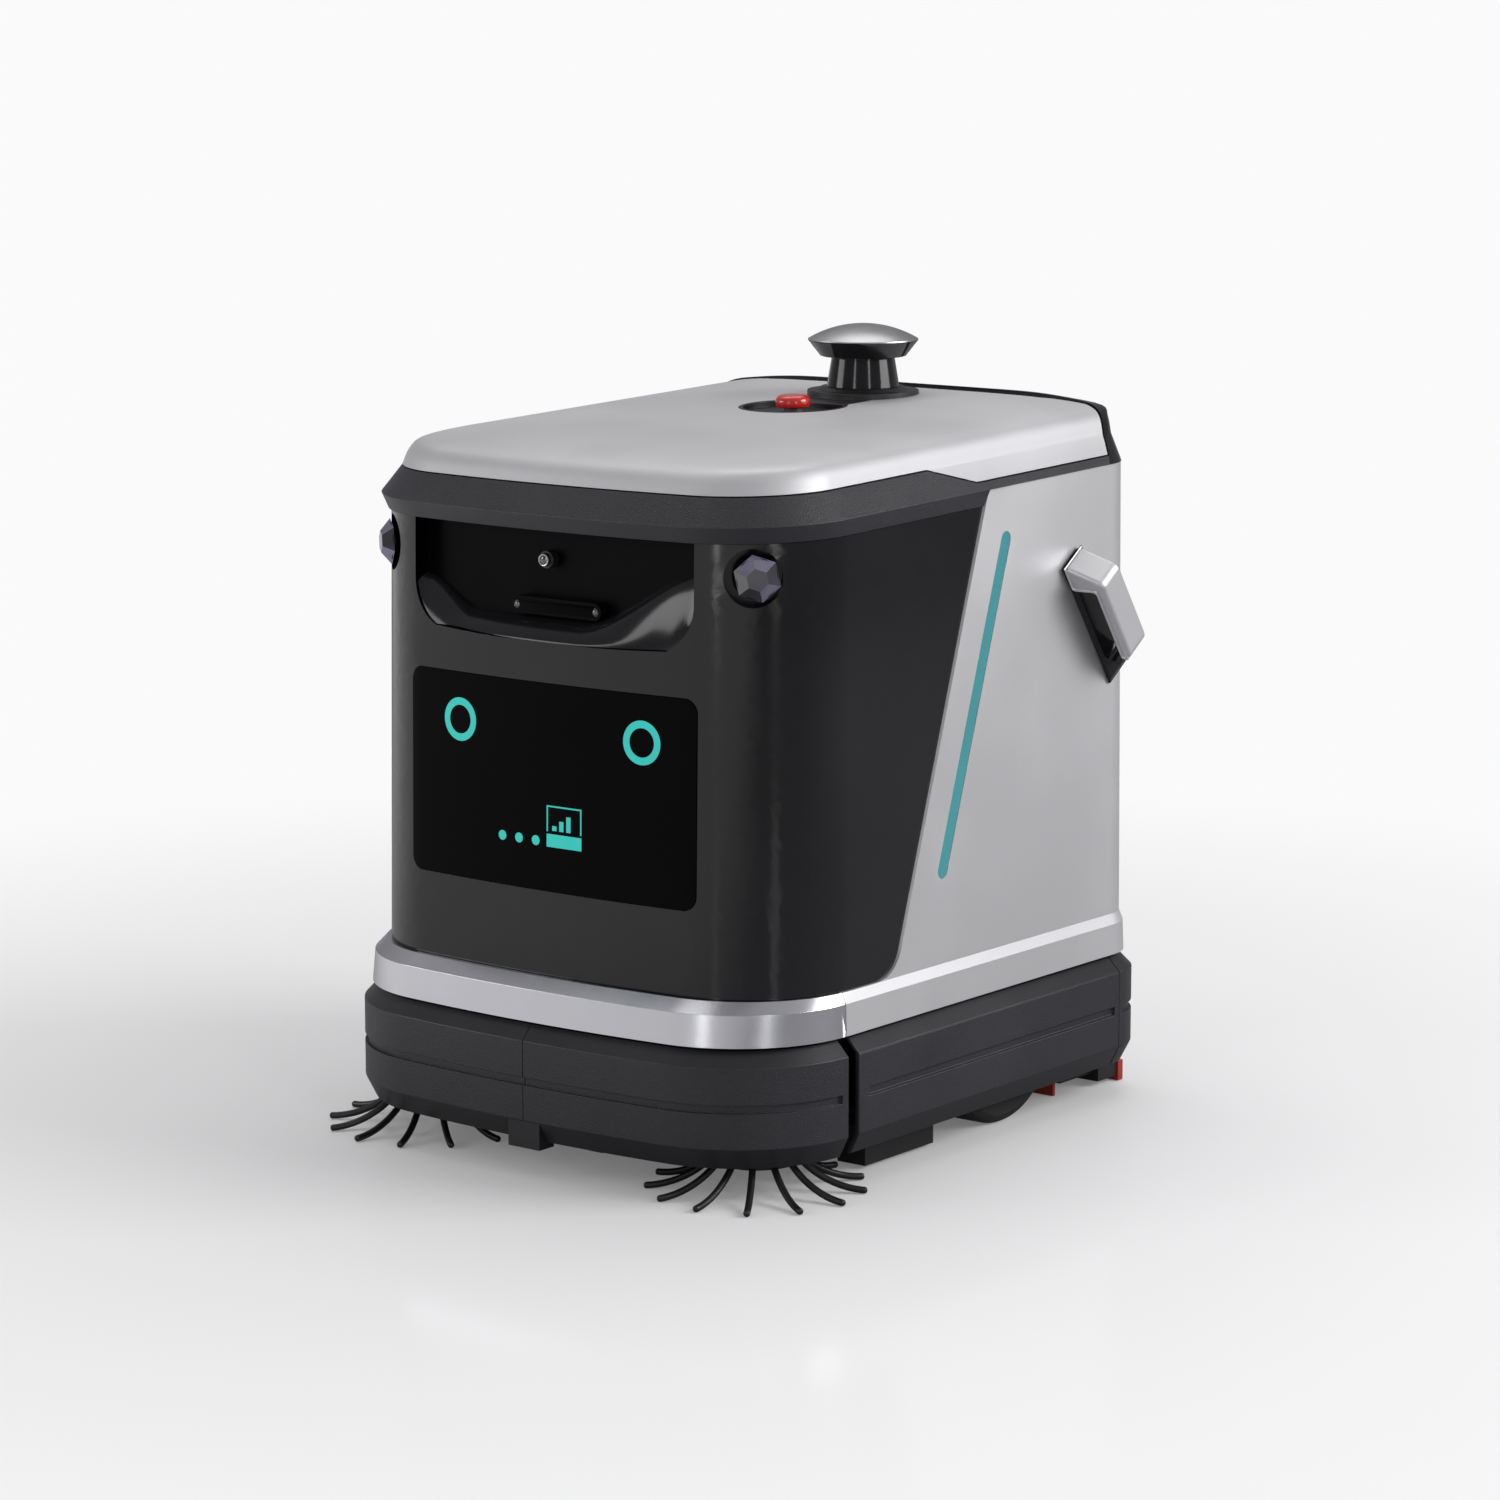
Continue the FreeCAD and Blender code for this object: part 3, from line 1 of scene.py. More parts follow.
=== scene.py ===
import json
import math

import bmesh
import bpy
from mathutils import Matrix, Vector

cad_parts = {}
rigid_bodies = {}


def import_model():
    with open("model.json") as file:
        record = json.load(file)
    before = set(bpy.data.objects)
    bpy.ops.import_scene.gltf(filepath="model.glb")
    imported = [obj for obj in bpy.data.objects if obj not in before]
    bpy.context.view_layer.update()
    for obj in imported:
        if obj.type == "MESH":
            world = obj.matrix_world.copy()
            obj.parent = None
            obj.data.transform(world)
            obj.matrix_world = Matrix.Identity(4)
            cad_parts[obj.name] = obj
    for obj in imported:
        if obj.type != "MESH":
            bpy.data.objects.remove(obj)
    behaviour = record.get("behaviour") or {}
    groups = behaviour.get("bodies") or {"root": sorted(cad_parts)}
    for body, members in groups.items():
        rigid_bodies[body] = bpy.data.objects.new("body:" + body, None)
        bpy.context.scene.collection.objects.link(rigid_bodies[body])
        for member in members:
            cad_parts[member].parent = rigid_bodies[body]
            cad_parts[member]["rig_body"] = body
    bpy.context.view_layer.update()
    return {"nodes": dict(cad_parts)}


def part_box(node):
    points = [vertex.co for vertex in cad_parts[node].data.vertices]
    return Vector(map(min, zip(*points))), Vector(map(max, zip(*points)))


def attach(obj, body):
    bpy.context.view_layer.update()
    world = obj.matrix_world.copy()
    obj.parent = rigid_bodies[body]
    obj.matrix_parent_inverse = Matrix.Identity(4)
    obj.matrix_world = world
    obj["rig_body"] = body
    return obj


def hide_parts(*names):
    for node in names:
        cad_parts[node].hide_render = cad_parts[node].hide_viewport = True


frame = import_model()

mm = 0.001
top_tilt = math.atan(0.03)          # the top slopes up towards the rear
top_height = 549 * mm               # underside of the collar above the middle
skirt_high = 110 * mm               # above this the skirts' chamfer begins

# The black front, which bulges between its corners and leans back as it rises.
body_low = 167 * mm                 # where the polished band meets the body
body_rise = 422 * mm                # height of the black front
front_y = -263 * mm                 # the front's middle at its foot
front_lean = 6 * mm                 # how far the front leans back over its height
front_bow = 6 * mm                  # how far the front bulges between its corners
flat_half = 127.5 * mm              # half width of the front before its corners turn
corner_turn_r = 120 * mm            # radius of the upright front corners

# The bay that the front sensors sit in.
bay_half = 150 * mm
bay_low = 448 * mm                  # front lip of the bay's floor
bay_corner_r = 42 * mm              # rounding of the bay's lower corners
bay_back_z = 466 * mm               # where the floor meets the back wall in the middle
bay_wall_t = 1.2 * mm

# Optical blocks at both front corners.
prism_z = 514 * mm
prism_turn = math.radians(-51)      # from the side towards the front
prism_r, prism_top_r = 20 * mm, 9.5 * mm
prism_depth = 9 * mm

# Corner sweeping brushes.
brush_x, brush_y = 178 * mm, -203 * mm
strand_count = 13
strand_r = 2.95 * mm
strand_start_z = 26 * mm
strand_bend_r = 79.5 * mm
strand_bend_x = 93.7 * mm           # the bend is lowest here, from the brush's axis
strand_low_z = 3.2 * mm             # and its middle line is this high there
strand_sweep = math.radians(42.8)   # how far a strand bends before its tip
strand_tip_dip = math.radians(1.7)  # the tip points this far below level
brush_disc_r = 38 * mm


# ================================================================ shader helpers
def add_node(tree, kind, **settings):
    node = tree.nodes.new(kind)
    for key, value in settings.items():
        setattr(node, key, value)
    return node


def new_group(name, inputs, outputs):
    """Empty shader group with float inputs given as (name, value) and named outputs."""
    group = bpy.data.node_groups.new(name, "ShaderNodeTree")
    for label, value in inputs:
        socket = group.interface.new_socket(name=label, in_out="INPUT",
                                            socket_type="NodeSocketFloat")
        socket.default_value = value
    for label in outputs:
        group.interface.new_socket(name=label, in_out="OUTPUT", socket_type="NodeSocketFloat")
    return group, add_node(group, "NodeGroupInput"), add_node(group, "NodeGroupOutput")


def build_grain_group():
    """Height of a fine moulded grain or paint flake."""
    group, source, result = new_group("fine_grain", [("Scale", 900.0), ("Contrast", 0.5)],
                                      ["Height"])
    link = group.links.new
    place = add_node(group, "ShaderNodeTexCoord")
    noise = add_node(group, "ShaderNodeTexNoise")
    noise.inputs["Detail"].default_value = 2.0
    cells = add_node(group, "ShaderNodeTexVoronoi", feature="SMOOTH_F1")
    mix = add_node(group, "ShaderNodeMath", operation="MULTIPLY_ADD")
    link(place.outputs["Object"], noise.inputs["Vector"])
    link(place.outputs["Object"], cells.inputs["Vector"])
    link(source.outputs["Scale"], noise.inputs["Scale"])
    link(source.outputs["Scale"], cells.inputs["Scale"])
    link(cells.outputs["Distance"], mix.inputs[0])
    link(source.outputs["Contrast"], mix.inputs[1])
    link(noise.outputs["Fac"], mix.inputs[2])
    link(mix.outputs[0], result.inputs["Height"])
    return group


def build_cloud_group():
    """Slow uneven handling marks and dust, from 0 to 1."""
    group, source, result = new_group("soft_cloud", [("Scale", 9.0), ("Low", 0.35), ("High", 0.7)],
                                      ["Mask"])
    link = group.links.new
    place = add_node(group, "ShaderNodeTexCoord")
    noise = add_node(group, "ShaderNodeTexNoise")
    noise.inputs["Detail"].default_value = 5.0
    noise.inputs["Roughness"].default_value = 0.6
    ramp = add_node(group, "ShaderNodeMapRange", interpolation_type="SMOOTHSTEP")
    link(place.outputs["Object"], noise.inputs["Vector"])
    link(source.outputs["Scale"], noise.inputs["Scale"])
    link(noise.outputs["Fac"], ramp.inputs["Value"])
    link(source.outputs["Low"], ramp.inputs["From Min"])
    link(source.outputs["High"], ramp.inputs["From Max"])
    link(ramp.outputs["Result"], result.inputs["Mask"])
    return group


def build_brushed_group():
    """Fine lines along a piece: noise squeezed across chosen axes."""
    group, source, result = new_group(
        "brushed_lines", [("Across X", 4.0), ("Across Y", 4.0), ("Across Z", 900.0)], ["Height"])
    link = group.links.new
    place = add_node(group, "ShaderNodeTexCoord")
    join = add_node(group, "ShaderNodeCombineXYZ")
    scale = add_node(group, "ShaderNodeVectorMath", operation="MULTIPLY")
    noise = add_node(group, "ShaderNodeTexNoise")
    noise.inputs["Scale"].default_value = 1.0
    noise.inputs["Detail"].default_value = 3.0
    for axis in "XYZ":
        link(source.outputs["Across " + axis], join.inputs[axis])
    link(place.outputs["Object"], scale.inputs[0])
    link(join.outputs[0], scale.inputs[1])
    link(scale.outputs[0], noise.inputs["Vector"])
    link(noise.outputs["Fac"], result.inputs["Height"])
    return group


grain_group = build_grain_group()
cloud_group = build_cloud_group()
brushed_group = build_brushed_group()


def place_group(tree, group, **values):
    """Put a shared group in a material, with its inputs given by name."""
    node = add_node(tree, "ShaderNodeGroup", node_tree=group)
    for label, value in values.items():
        node.inputs[label.replace("_", " ")].default_value = value
    return node


def mix_colours(tree, mask, dark, light):
    """Colour between two tones, chosen by a mask."""
    mix = add_node(tree, "ShaderNodeMix", data_type="RGBA")
    mix.inputs["A"].default_value = (*dark, 1.0)
    mix.inputs["B"].default_value = (*light, 1.0)
    tree.links.new(mask, mix.inputs["Factor"])
    return mix.outputs["Result"]


def mix_range(tree, mask, low, high):
    """Value between two ends, chosen by a mask."""
    span = add_node(tree, "ShaderNodeMapRange")
    span.inputs["To Min"].default_value = low
    span.inputs["To Max"].default_value = high
    tree.links.new(mask, span.inputs["Value"])
    return span.outputs["Result"]


def surface(name, dark, light, rough, metallic=0.0, grain=None, cloud=9.0, brushed=None,
            shader=None):
    """Material: colour between two tones, roughness between two values, and a bumped grain.
    grain is (scale per metre, bump strength, bump depth) and brushed is (scale along x, y and z,
    bump strength, bump depth). shader holds plain socket values."""
    material = bpy.data.materials.new(name + "_finish")
    material.use_nodes = True
    tree = material.node_tree
    link = tree.links.new
    bsdf = tree.nodes["Principled BSDF"]
    bsdf.inputs["Metallic"].default_value = metallic
    for label, value in (shader or {}).items():
        bsdf.inputs[label].default_value = value
    marks = place_group(tree, cloud_group, Scale=cloud)
    link(mix_colours(tree, marks.outputs["Mask"], dark, light), bsdf.inputs["Base Color"])
    link(mix_range(tree, marks.outputs["Mask"], *rough), bsdf.inputs["Roughness"])
    height = None
    if grain:
        scale, strength, depth = grain
        height = place_group(tree, grain_group, Scale=scale).outputs["Height"]
    if brushed:
        axes, strength, depth = brushed
        lines = place_group(tree, brushed_group, Across_X=axes[0], Across_Y=axes[1],
                            Across_Z=axes[2])
        height = lines.outputs["Height"]
    if height:
        bump = add_node(tree, "ShaderNodeBump")
        bump.inputs["Strength"].default_value = strength
        bump.inputs["Distance"].default_value = depth
        link(height, bump.inputs["Height"])
        link(bump.outputs["Normal"], bsdf.inputs["Normal"])
    return material


def glow(name, colour, strength, rough=0.25):
    """Lit plastic or screen pixels, with slightly uneven light."""
    material = surface(name, [0.25 * c for c in colour], [0.3 * c for c in colour],
                       (rough, rough + 0.1))
    tree = material.node_tree
    bsdf = tree.nodes["Principled BSDF"]
    marks = place_group(tree, cloud_group, Scale=60.0, Low=0.2, High=0.8)
    lit = mix_colours(tree, marks.outputs["Mask"], [0.92 * c for c in colour], colour)
    tree.links.new(lit, bsdf.inputs["Emission Color"])
    bsdf.inputs["Emission Strength"].default_value = strength
    return material


# ================================================================ materials
silver_paint = surface(
    "silver_paint", (0.66, 0.655, 0.67), (0.70, 0.695, 0.71), (0.44, 0.50), metallic=0.66,
    grain=(2600.0, 0.10, 0.00012), cloud=5.0, shader={"Coat Weight": 0.05, "Coat Roughness": 0.3})
# painted shade: a darker, rougher copy of the silver paint, which holds down the brightly lit top
# of the lid
lid_silver_painted_shade = surface(
    "lid_silver_painted_shade", (0.55, 0.545, 0.56), (0.59, 0.585, 0.60), (0.52, 0.58), metallic=0.55,
    grain=(2600.0, 0.14, 0.00012), cloud=5.0, shader={"Coat Weight": 0.04, "Coat Roughness": 0.35})
bright_band = surface(
    "bright_band", (0.56, 0.56, 0.60), (0.64, 0.64, 0.67), (0.20, 0.27), metallic=1.0,
    brushed=((6.0, 6.0, 2200.0), 0.05, 0.0001), cloud=6.0)
black_gloss = surface(
    "black_gloss", (0.009, 0.0085, 0.0095), (0.013, 0.012, 0.014), (0.11, 0.16), cloud=4.0,
    shader={"Specular IOR Level": 0.4, "IOR": 1.45})
screen_glass = surface(
    "screen_glass", (0.0015, 0.0015, 0.002), (0.002, 0.002, 0.0025), (0.12, 0.16), cloud=5.0,
    shader={"IOR": 1.2, "Specular IOR Level": 0.15})
# painted shade: near-black and barely reflective, for the shaded inside of the sensor bay, the
# sensors set in it and the corner openings
bay_painted_shade = surface(
    "bay_painted_shade", (0.0010, 0.0010, 0.0011), (0.0018, 0.0017, 0.0019), (0.30, 0.40), cloud=12.0,
    shader={"Specular IOR Level": 0.05})
# painted shade: a darker, smoother copy of the skirts' dark finish for their shaded chamfers, also
# given to the bumper bracket
shaded_edge = surface(
    "shaded_edge", (0.012, 0.0118, 0.0135), (0.018, 0.0175, 0.020), (0.34, 0.44),
    brushed=((8.0, 8.0, 900.0), 0.25, 0.0003), cloud=7.0)
dark_texture = surface(
    "dark_texture", (0.019, 0.0185, 0.0235), (0.026, 0.0248, 0.031), (0.38, 0.48),
    grain=(1000.0, 0.75, 0.0005), cloud=7.0)
black_plastic = surface(
    "black_plastic", (0.010, 0.010, 0.011), (0.016, 0.016, 0.018), (0.42, 0.55),
    grain=(1300.0, 0.25, 0.0003), cloud=10.0)
inner_plastic = surface(
    "inner_plastic", (0.10, 0.10, 0.105), (0.14, 0.14, 0.145), (0.45, 0.6),
    grain=(900.0, 0.2, 0.0003), cloud=8.0)
tank_plastic = surface(
    "tank_plastic", (0.40, 0.43, 0.45), (0.48, 0.51, 0.53), (0.28, 0.38),
    grain=(500.0, 0.1, 0.0002), cloud=6.0,
    shader={"Subsurface Weight": 0.25, "Subsurface Radius": (0.01, 0.01, 0.01)})
teal_light = glow("teal_light", (0.055, 0.30, 0.335), 0.72)
screen_pixels = glow("screen_pixels", (0.015, 0.52, 0.46), 0.82)
light_edge = surface(
    "light_edge", (0.55, 0.57, 0.58), (0.62, 0.64, 0.65), (0.2, 0.3), metallic=0.6)
# painted shade: a darker copy of the cap's chrome for its downward-facing underside
chrome_underside_painted_shade = surface(
    "chrome_underside_painted_shade", (0.07, 0.07, 0.075), (0.10, 0.10, 0.105), (0.07, 0.12), metallic=0.9, cloud=14.0)
chrome_cap = surface(
    "chrome_cap", (0.42, 0.42, 0.43), (0.48, 0.48, 0.49), (0.30, 0.36), metallic=1.0,
    brushed=((500.0, 500.0, 30.0), 0.05, 0.0001), cloud=18.0)
lens_glass = surface(
    "lens_glass", (0.012, 0.012, 0.018), (0.03, 0.028, 0.04), (0.02, 0.05), cloud=40.0,
    shader={"Coat Weight": 1.0, "Coat Roughness": 0.01, "IOR": 1.7})
# painted reflection: pale violet standing in for the light caught by every other side facet of the
# corner prisms
prism_painted_glint = surface(
    "prism_painted_glint", (0.20, 0.19, 0.26), (0.26, 0.25, 0.33), (0.08, 0.14), cloud=60.0, metallic=0.5)
stop_red = surface(
    "stop_red", (0.55, 0.012, 0.008), (0.68, 0.020, 0.012), (0.16, 0.24),
    grain=(1500.0, 0.05, 0.0002), cloud=50.0, shader={"Coat Weight": 0.7, "Coat Roughness": 0.08})
blade_red = surface(
    "blade_red", (0.36, 0.03, 0.02), (0.46, 0.05, 0.03), (0.45, 0.6), grain=(700.0, 0.2, 0.0003),
    cloud=30.0)
tyre_rubber = surface(
    "tyre_rubber", (0.010, 0.010, 0.010), (0.020, 0.020, 0.019), (0.6, 0.8),
    grain=(1100.0, 0.45, 0.0005), cloud=25.0)
bristle_black = surface(
    "bristle_black", (0.008, 0.008, 0.008), (0.014, 0.014, 0.014), (0.32, 0.45),
    grain=(1500.0, 0.15, 0.0002), cloud=40.0)
steel = surface(
    "steel", (0.42, 0.42, 0.43), (0.52, 0.52, 0.53), (0.24, 0.36), metallic=1.0,
    grain=(1200.0, 0.1, 0.0002), cloud=30.0)
contact_metal = surface(
    "contact_metal", (0.62, 0.50, 0.25), (0.74, 0.62, 0.34), (0.18, 0.30), metallic=1.0,
    brushed=((900.0, 4.0, 4.0), 0.08, 0.0001), cloud=40.0)
hub_alloy = surface(
    "hub_alloy", (0.11, 0.11, 0.115), (0.16, 0.16, 0.165), (0.35, 0.48), metallic=0.7,
    grain=(700.0, 0.15, 0.0003), cloud=20.0)
hose_black = surface(
    "hose_black", (0.014, 0.014, 0.015), (0.024, 0.024, 0.025), (0.5, 0.62),
    brushed=((4.0, 4.0, 420.0), 0.5, 0.0015), cloud=20.0)


# ================================================================ mesh helpers
def to_object(bm, name, body, finish, nodes=(), sharp=35.0):
    """Finish a bmesh as a smooth-shaded piece that rides on a body."""
    mesh = bpy.data.meshes.new(name)
    bm.to_mesh(mesh)
    bm.free()
    for face in mesh.polygons:
        face.use_smooth = True
    mesh.set_sharp_from_angle(angle=math.radians(sharp))
    mesh.materials.append(finish)
    piece = bpy.data.objects.new(name, mesh)
    bpy.context.scene.collection.objects.link(piece)
    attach(piece, body)
    if nodes:
        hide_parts(*nodes)
    return piece


def round_edges(piece, width, segments=2, angle=30.0, clamp=True):
    """Soften every edge sharper than the angle."""
    bevel = piece.modifiers.new("soft_edges", "BEVEL")
    bevel.width = width
    bevel.segments = segments
    bevel.limit_method = "ANGLE"
    bevel.angle_limit = math.radians(angle)
    bevel.harden_normals = False
    bevel.use_clamp_overlap = clamp
    evened = piece.modifiers.new("even_shading", "WEIGHTED_NORMAL")
    evened.keep_sharp = True
    return piece


def body_of_node(node):
    return frame["nodes"][node]["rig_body"]


def merged_copy(node, join=True):
    """Bmesh of a node's own shape, its loose triangles merged and, to join, made whole faces."""
    bm = bmesh.new()
    bm.from_mesh(frame["nodes"][node].data)
    bmesh.ops.remove_doubles(bm, verts=bm.verts, dist=0.002 * mm)
    bmesh.ops.dissolve_degenerate(bm, edges=bm.edges, dist=0.002 * mm)
    if join:
        bmesh.ops.dissolve_limit(bm, angle_limit=math.radians(0.4), verts=bm.verts, edges=bm.edges)
    return bm


def dressed(node, finish, edge=0.5 * mm, segments=2, angle=30.0, sharp=35.0, paint=(), join=True,
            clamp=True):
    """The node's own shape with softened edges. paint holds (finish, test of a face) pairs."""
    bm = merged_copy(node, join)
    bm.normal_update()
    for index, (_, chosen) in enumerate(paint, 1):
        for face in bm.faces:
            if chosen(face):
                face.material_index = index
    piece = to_object(bm, node + "_shell", body_of_node(node), finish, (node,), sharp=sharp)
    for other, _ in paint:
        piece.data.materials.append(other)
    if edge:
        round_edges(piece, edge, segments, angle, clamp)
    return piece


def turned(profile, centre, axis=(0, 0, 1), across=(1, 0, 0), steps=48):
    """Shape of revolution from (radius, height) points, that start and end on the axis or meet."""
    bm = bmesh.new()
    centre, axis, across = Vector(centre), Vector(axis), Vector(across)
    verts = [bm.verts.new(centre + across * r + axis * h) for r, h in profile]
    edges = [bm.edges.new(pair) for pair in zip(verts, verts[1:])]
    bmesh.ops.spin(bm, geom=verts + edges, cent=centre, axis=axis, dvec=(0, 0, 0),
                   angle=math.tau, steps=steps, use_merge=True)
    bmesh.ops.remove_doubles(bm, verts=bm.verts, dist=0.01 * mm)
    bmesh.ops.recalc_face_normals(bm, faces=bm.faces)
    return bm


def arc_points(cx, cy, r, start, end, steps):
    """Points of an arc for a turned profile, angles in degrees."""
    return [(cx + r * math.cos(math.radians(start + (end - start) * k / steps)),
             cy + r * math.sin(math.radians(start + (end - start) * k / steps)))
            for k in range(steps + 1)]


def only_verts(geometry):
    return [g for g in geometry if isinstance(g, bmesh.types.BMVert)]


def only_edges(geometry):
    return [g for g in geometry if isinstance(g, bmesh.types.BMEdge)]


def thicken(bm, faces, offset):
    """Give open faces a thickness, by pulling a copy of them out to the offset."""
    pulled = bmesh.ops.extrude_face_region(bm, geom=faces)["geom"]
    bmesh.ops.translate(bm, vec=offset, verts=only_verts(pulled))


def top_matrix():
    """From the top's own frame (x, y, height above the collar underside) to the machine's."""
    return Matrix.Translation((0, 0, top_height)) @ Matrix.Rotation(top_tilt, 4, "X")


def block(bm, low, high, bevel=0.0, segments=3):
    """Box between two corners, with its edges rounded."""
    low, high = Vector(low), Vector(high)
    size = high - low
    place = Matrix.Translation((low + high) / 2) @ Matrix.Diagonal((*size, 1.0))
    made = bmesh.ops.create_cube(bm, size=1.0, matrix=place)["verts"]
    if bevel:
        edges = list({e for v in made for e in v.link_edges})
        bmesh.ops.bevel(bm, geom=edges, offset=bevel, offset_type="OFFSET", segments=segments,
                        profile=0.5, affect="EDGES", material=-1, clamp_overlap=True)
    return made


# ================================================================ stage, lights, camera
def make_floor():
    """Pale floor that fades into the background far from the machine."""
    bm = bmesh.new()
    bmesh.ops.create_circle(bm, cap_ends=True, radius=40.0, segments=96)
    mesh = bpy.data.meshes.new("floor")
    bm.to_mesh(mesh)
    bm.free()
    floor = bpy.data.objects.new("floor", mesh)
    bpy.context.scene.collection.objects.link(floor)
    material = bpy.data.materials.new("pale_floor")
    material.use_nodes = True
    tree = material.node_tree
    bsdf = tree.nodes["Principled BSDF"]
    bsdf.inputs["Roughness"].default_value = 0.12
    bsdf.inputs["IOR"].default_value = 1.08
    glow_shader = add_node(tree, "ShaderNodeEmission")
    glow_shader.inputs["Color"].default_value = (0.955, 0.955, 0.955, 1.0)
    place = add_node(tree, "ShaderNodeTexCoord")
    length = add_node(tree, "ShaderNodeVectorMath", operation="LENGTH")
    fade = add_node(tree, "ShaderNodeMapRange", interpolation_type="SMOOTHSTEP")
    fade.inputs["From Min"].default_value = 0.30
    fade.inputs["From Max"].default_value = 1.7
    fade.inputs["To Min"].default_value = 0.15
    fade.inputs["To Max"].default_value = 1.0
    # What polished faces see of the floor: bright to the front left, dark behind to the right.
    side = add_node(tree, "ShaderNodeVectorMath", operation="DOT_PRODUCT")
    side.inputs[1].default_value = (-0.61, -0.79, 0.0)
    spread = add_node(tree, "ShaderNodeMapRange", interpolation_type="SMOOTHSTEP")
    spread.inputs["From Min"].default_value = 0.1
    spread.inputs["From Max"].default_value = 1.6
    spread.inputs["To Min"].default_value = 0.02
    spread.inputs["To Max"].default_value = 0.92
    path = add_node(tree, "ShaderNodeLightPath")
    pick = add_node(tree, "ShaderNodeMix", data_type="FLOAT")
    tone = add_node(tree, "ShaderNodeMix", data_type="RGBA")
    tone.inputs["A"].default_value = (0.30, 0.30, 0.31, 1.0)
    tone.inputs["B"].default_value = (0.90, 0.895, 0.90, 1.0)
    reach = add_node(tree, "ShaderNodeMath", operation="MAXIMUM")
    mix = add_node(tree, "ShaderNodeMixShader")
    link = tree.links.new
    link(place.outputs["Object"], length.inputs[0])
    link(length.outputs["Value"], fade.inputs["Value"])
    link(place.outputs["Object"], side.inputs[0])
    link(side.outputs["Value"], spread.inputs["Value"])
    link(path.outputs["Is Camera Ray"], pick.inputs["Factor"])
    link(spread.outputs["Result"], pick.inputs["A"])
    link(fade.outputs["Result"], pick.inputs["B"])
    link(path.outputs["Is Camera Ray"], reach.inputs[0])
    link(spread.outputs["Result"], reach.inputs[1])
    link(reach.outputs[0], tone.inputs["Factor"])
    link(tone.outputs["Result"], bsdf.inputs["Base Color"])
    link(pick.outputs["Result"], mix.inputs["Fac"])
    link(bsdf.outputs["BSDF"], mix.inputs[1])
    link(glow_shader.outputs["Emission"], mix.inputs[2])
    link(mix.outputs["Shader"], tree.nodes["Material Output"].inputs["Surface"])
    mesh.materials.append(material)


def make_world():
    """Near-white backdrop for the eye, softer grey for what the surfaces reflect."""
    world = bpy.data.worlds.new("studio")
    bpy.context.scene.world = world
    world.use_nodes = True
    tree = world.node_tree
    link = tree.links.new
    seen = tree.nodes["Background"]
    seen.inputs["Color"].default_value = (0.955, 0.955, 0.955, 1.0)
    around = add_node(tree, "ShaderNodeBackground")
    place = add_node(tree, "ShaderNodeTexCoord")
    split = add_node(tree, "ShaderNodeSeparateXYZ")
    ramp = add_node(tree, "ShaderNodeValToRGB")
    ramp.color_ramp.elements[0].position = 0.0
    ramp.color_ramp.elements[0].color = (0.40, 0.40, 0.41, 1)
    ramp.color_ramp.elements[1].position = 1.0
    ramp.color_ramp.elements[1].color = (0.42, 0.42, 0.43, 1)
    middle = ramp.color_ramp.elements.new(0.12)
    middle.color = (0.22, 0.22, 0.235, 1)
    link(place.outputs["Generated"], split.inputs[0])
    link(split.outputs["Z"], ramp.inputs["Fac"])
    link(ramp.outputs["Color"], around.inputs["Color"])
    path = add_node(tree, "ShaderNodeLightPath")
    mix = add_node(tree, "ShaderNodeMixShader")
    link(path.outputs["Is Camera Ray"], mix.inputs["Fac"])
    link(around.outputs["Background"], mix.inputs[1])
    link(seen.outputs["Background"], mix.inputs[2])
    link(mix.outputs["Shader"], tree.nodes["World Output"].inputs["Surface"])


def softbox(name, place, aim, width, height, power):
    """Flat rectangular lamp that the camera doesn't see."""
    lamp = bpy.data.lights.new(name, "AREA")
    lamp.shape = "RECTANGLE"
    lamp.size = width
    lamp.size_y = height
    lamp.energy = power
    box = bpy.data.objects.new(name, lamp)
    box.location = place
    box.rotation_euler = (Vector(aim) - Vector(place)).to_track_quat("-Z", "Y").to_euler()
    box.visible_camera = False
    bpy.context.scene.collection.objects.link(box)


def make_lights():
    """Two broad lamps and a fill, with narrow ones that draw lines in the gloss."""
    middle = (0, 0, 0.35)
    softbox("key_right", (2.9, 1.5, 1.9), middle, 2.2, 1.8, 84)
    softbox("overhead", (-0.6, 0.6, 2.9), middle, 2.6, 1.6, 24)
    softbox("front_left", (-2.6, -2.4, 1.3), middle, 1.6, 1.0, 22)
    softbox("front_strip", (0.55, -3.4, 1.0), middle, 0.28, 1.7, 9)
    softbox("corner_strip", (2.9, -1.7, 1.0), middle, 0.35, 1.6, 11)


def make_camera():
    """Long lens, a little above the machine and to the right of its front."""
    data = bpy.data.cameras.new("camera")
    data.lens = 110.97
    data.sensor_width = 36.0
    camera = bpy.data.objects.new("camera", data)
    camera.location = (2.44442, -3.152645, 1.01276)
    camera.rotation_euler = (math.radians(80.18), 0.0, math.radians(37.62))
    bpy.context.scene.collection.objects.link(camera)
    bpy.context.scene.camera = camera
    bpy.context.scene.view_settings.view_transform = "Standard"


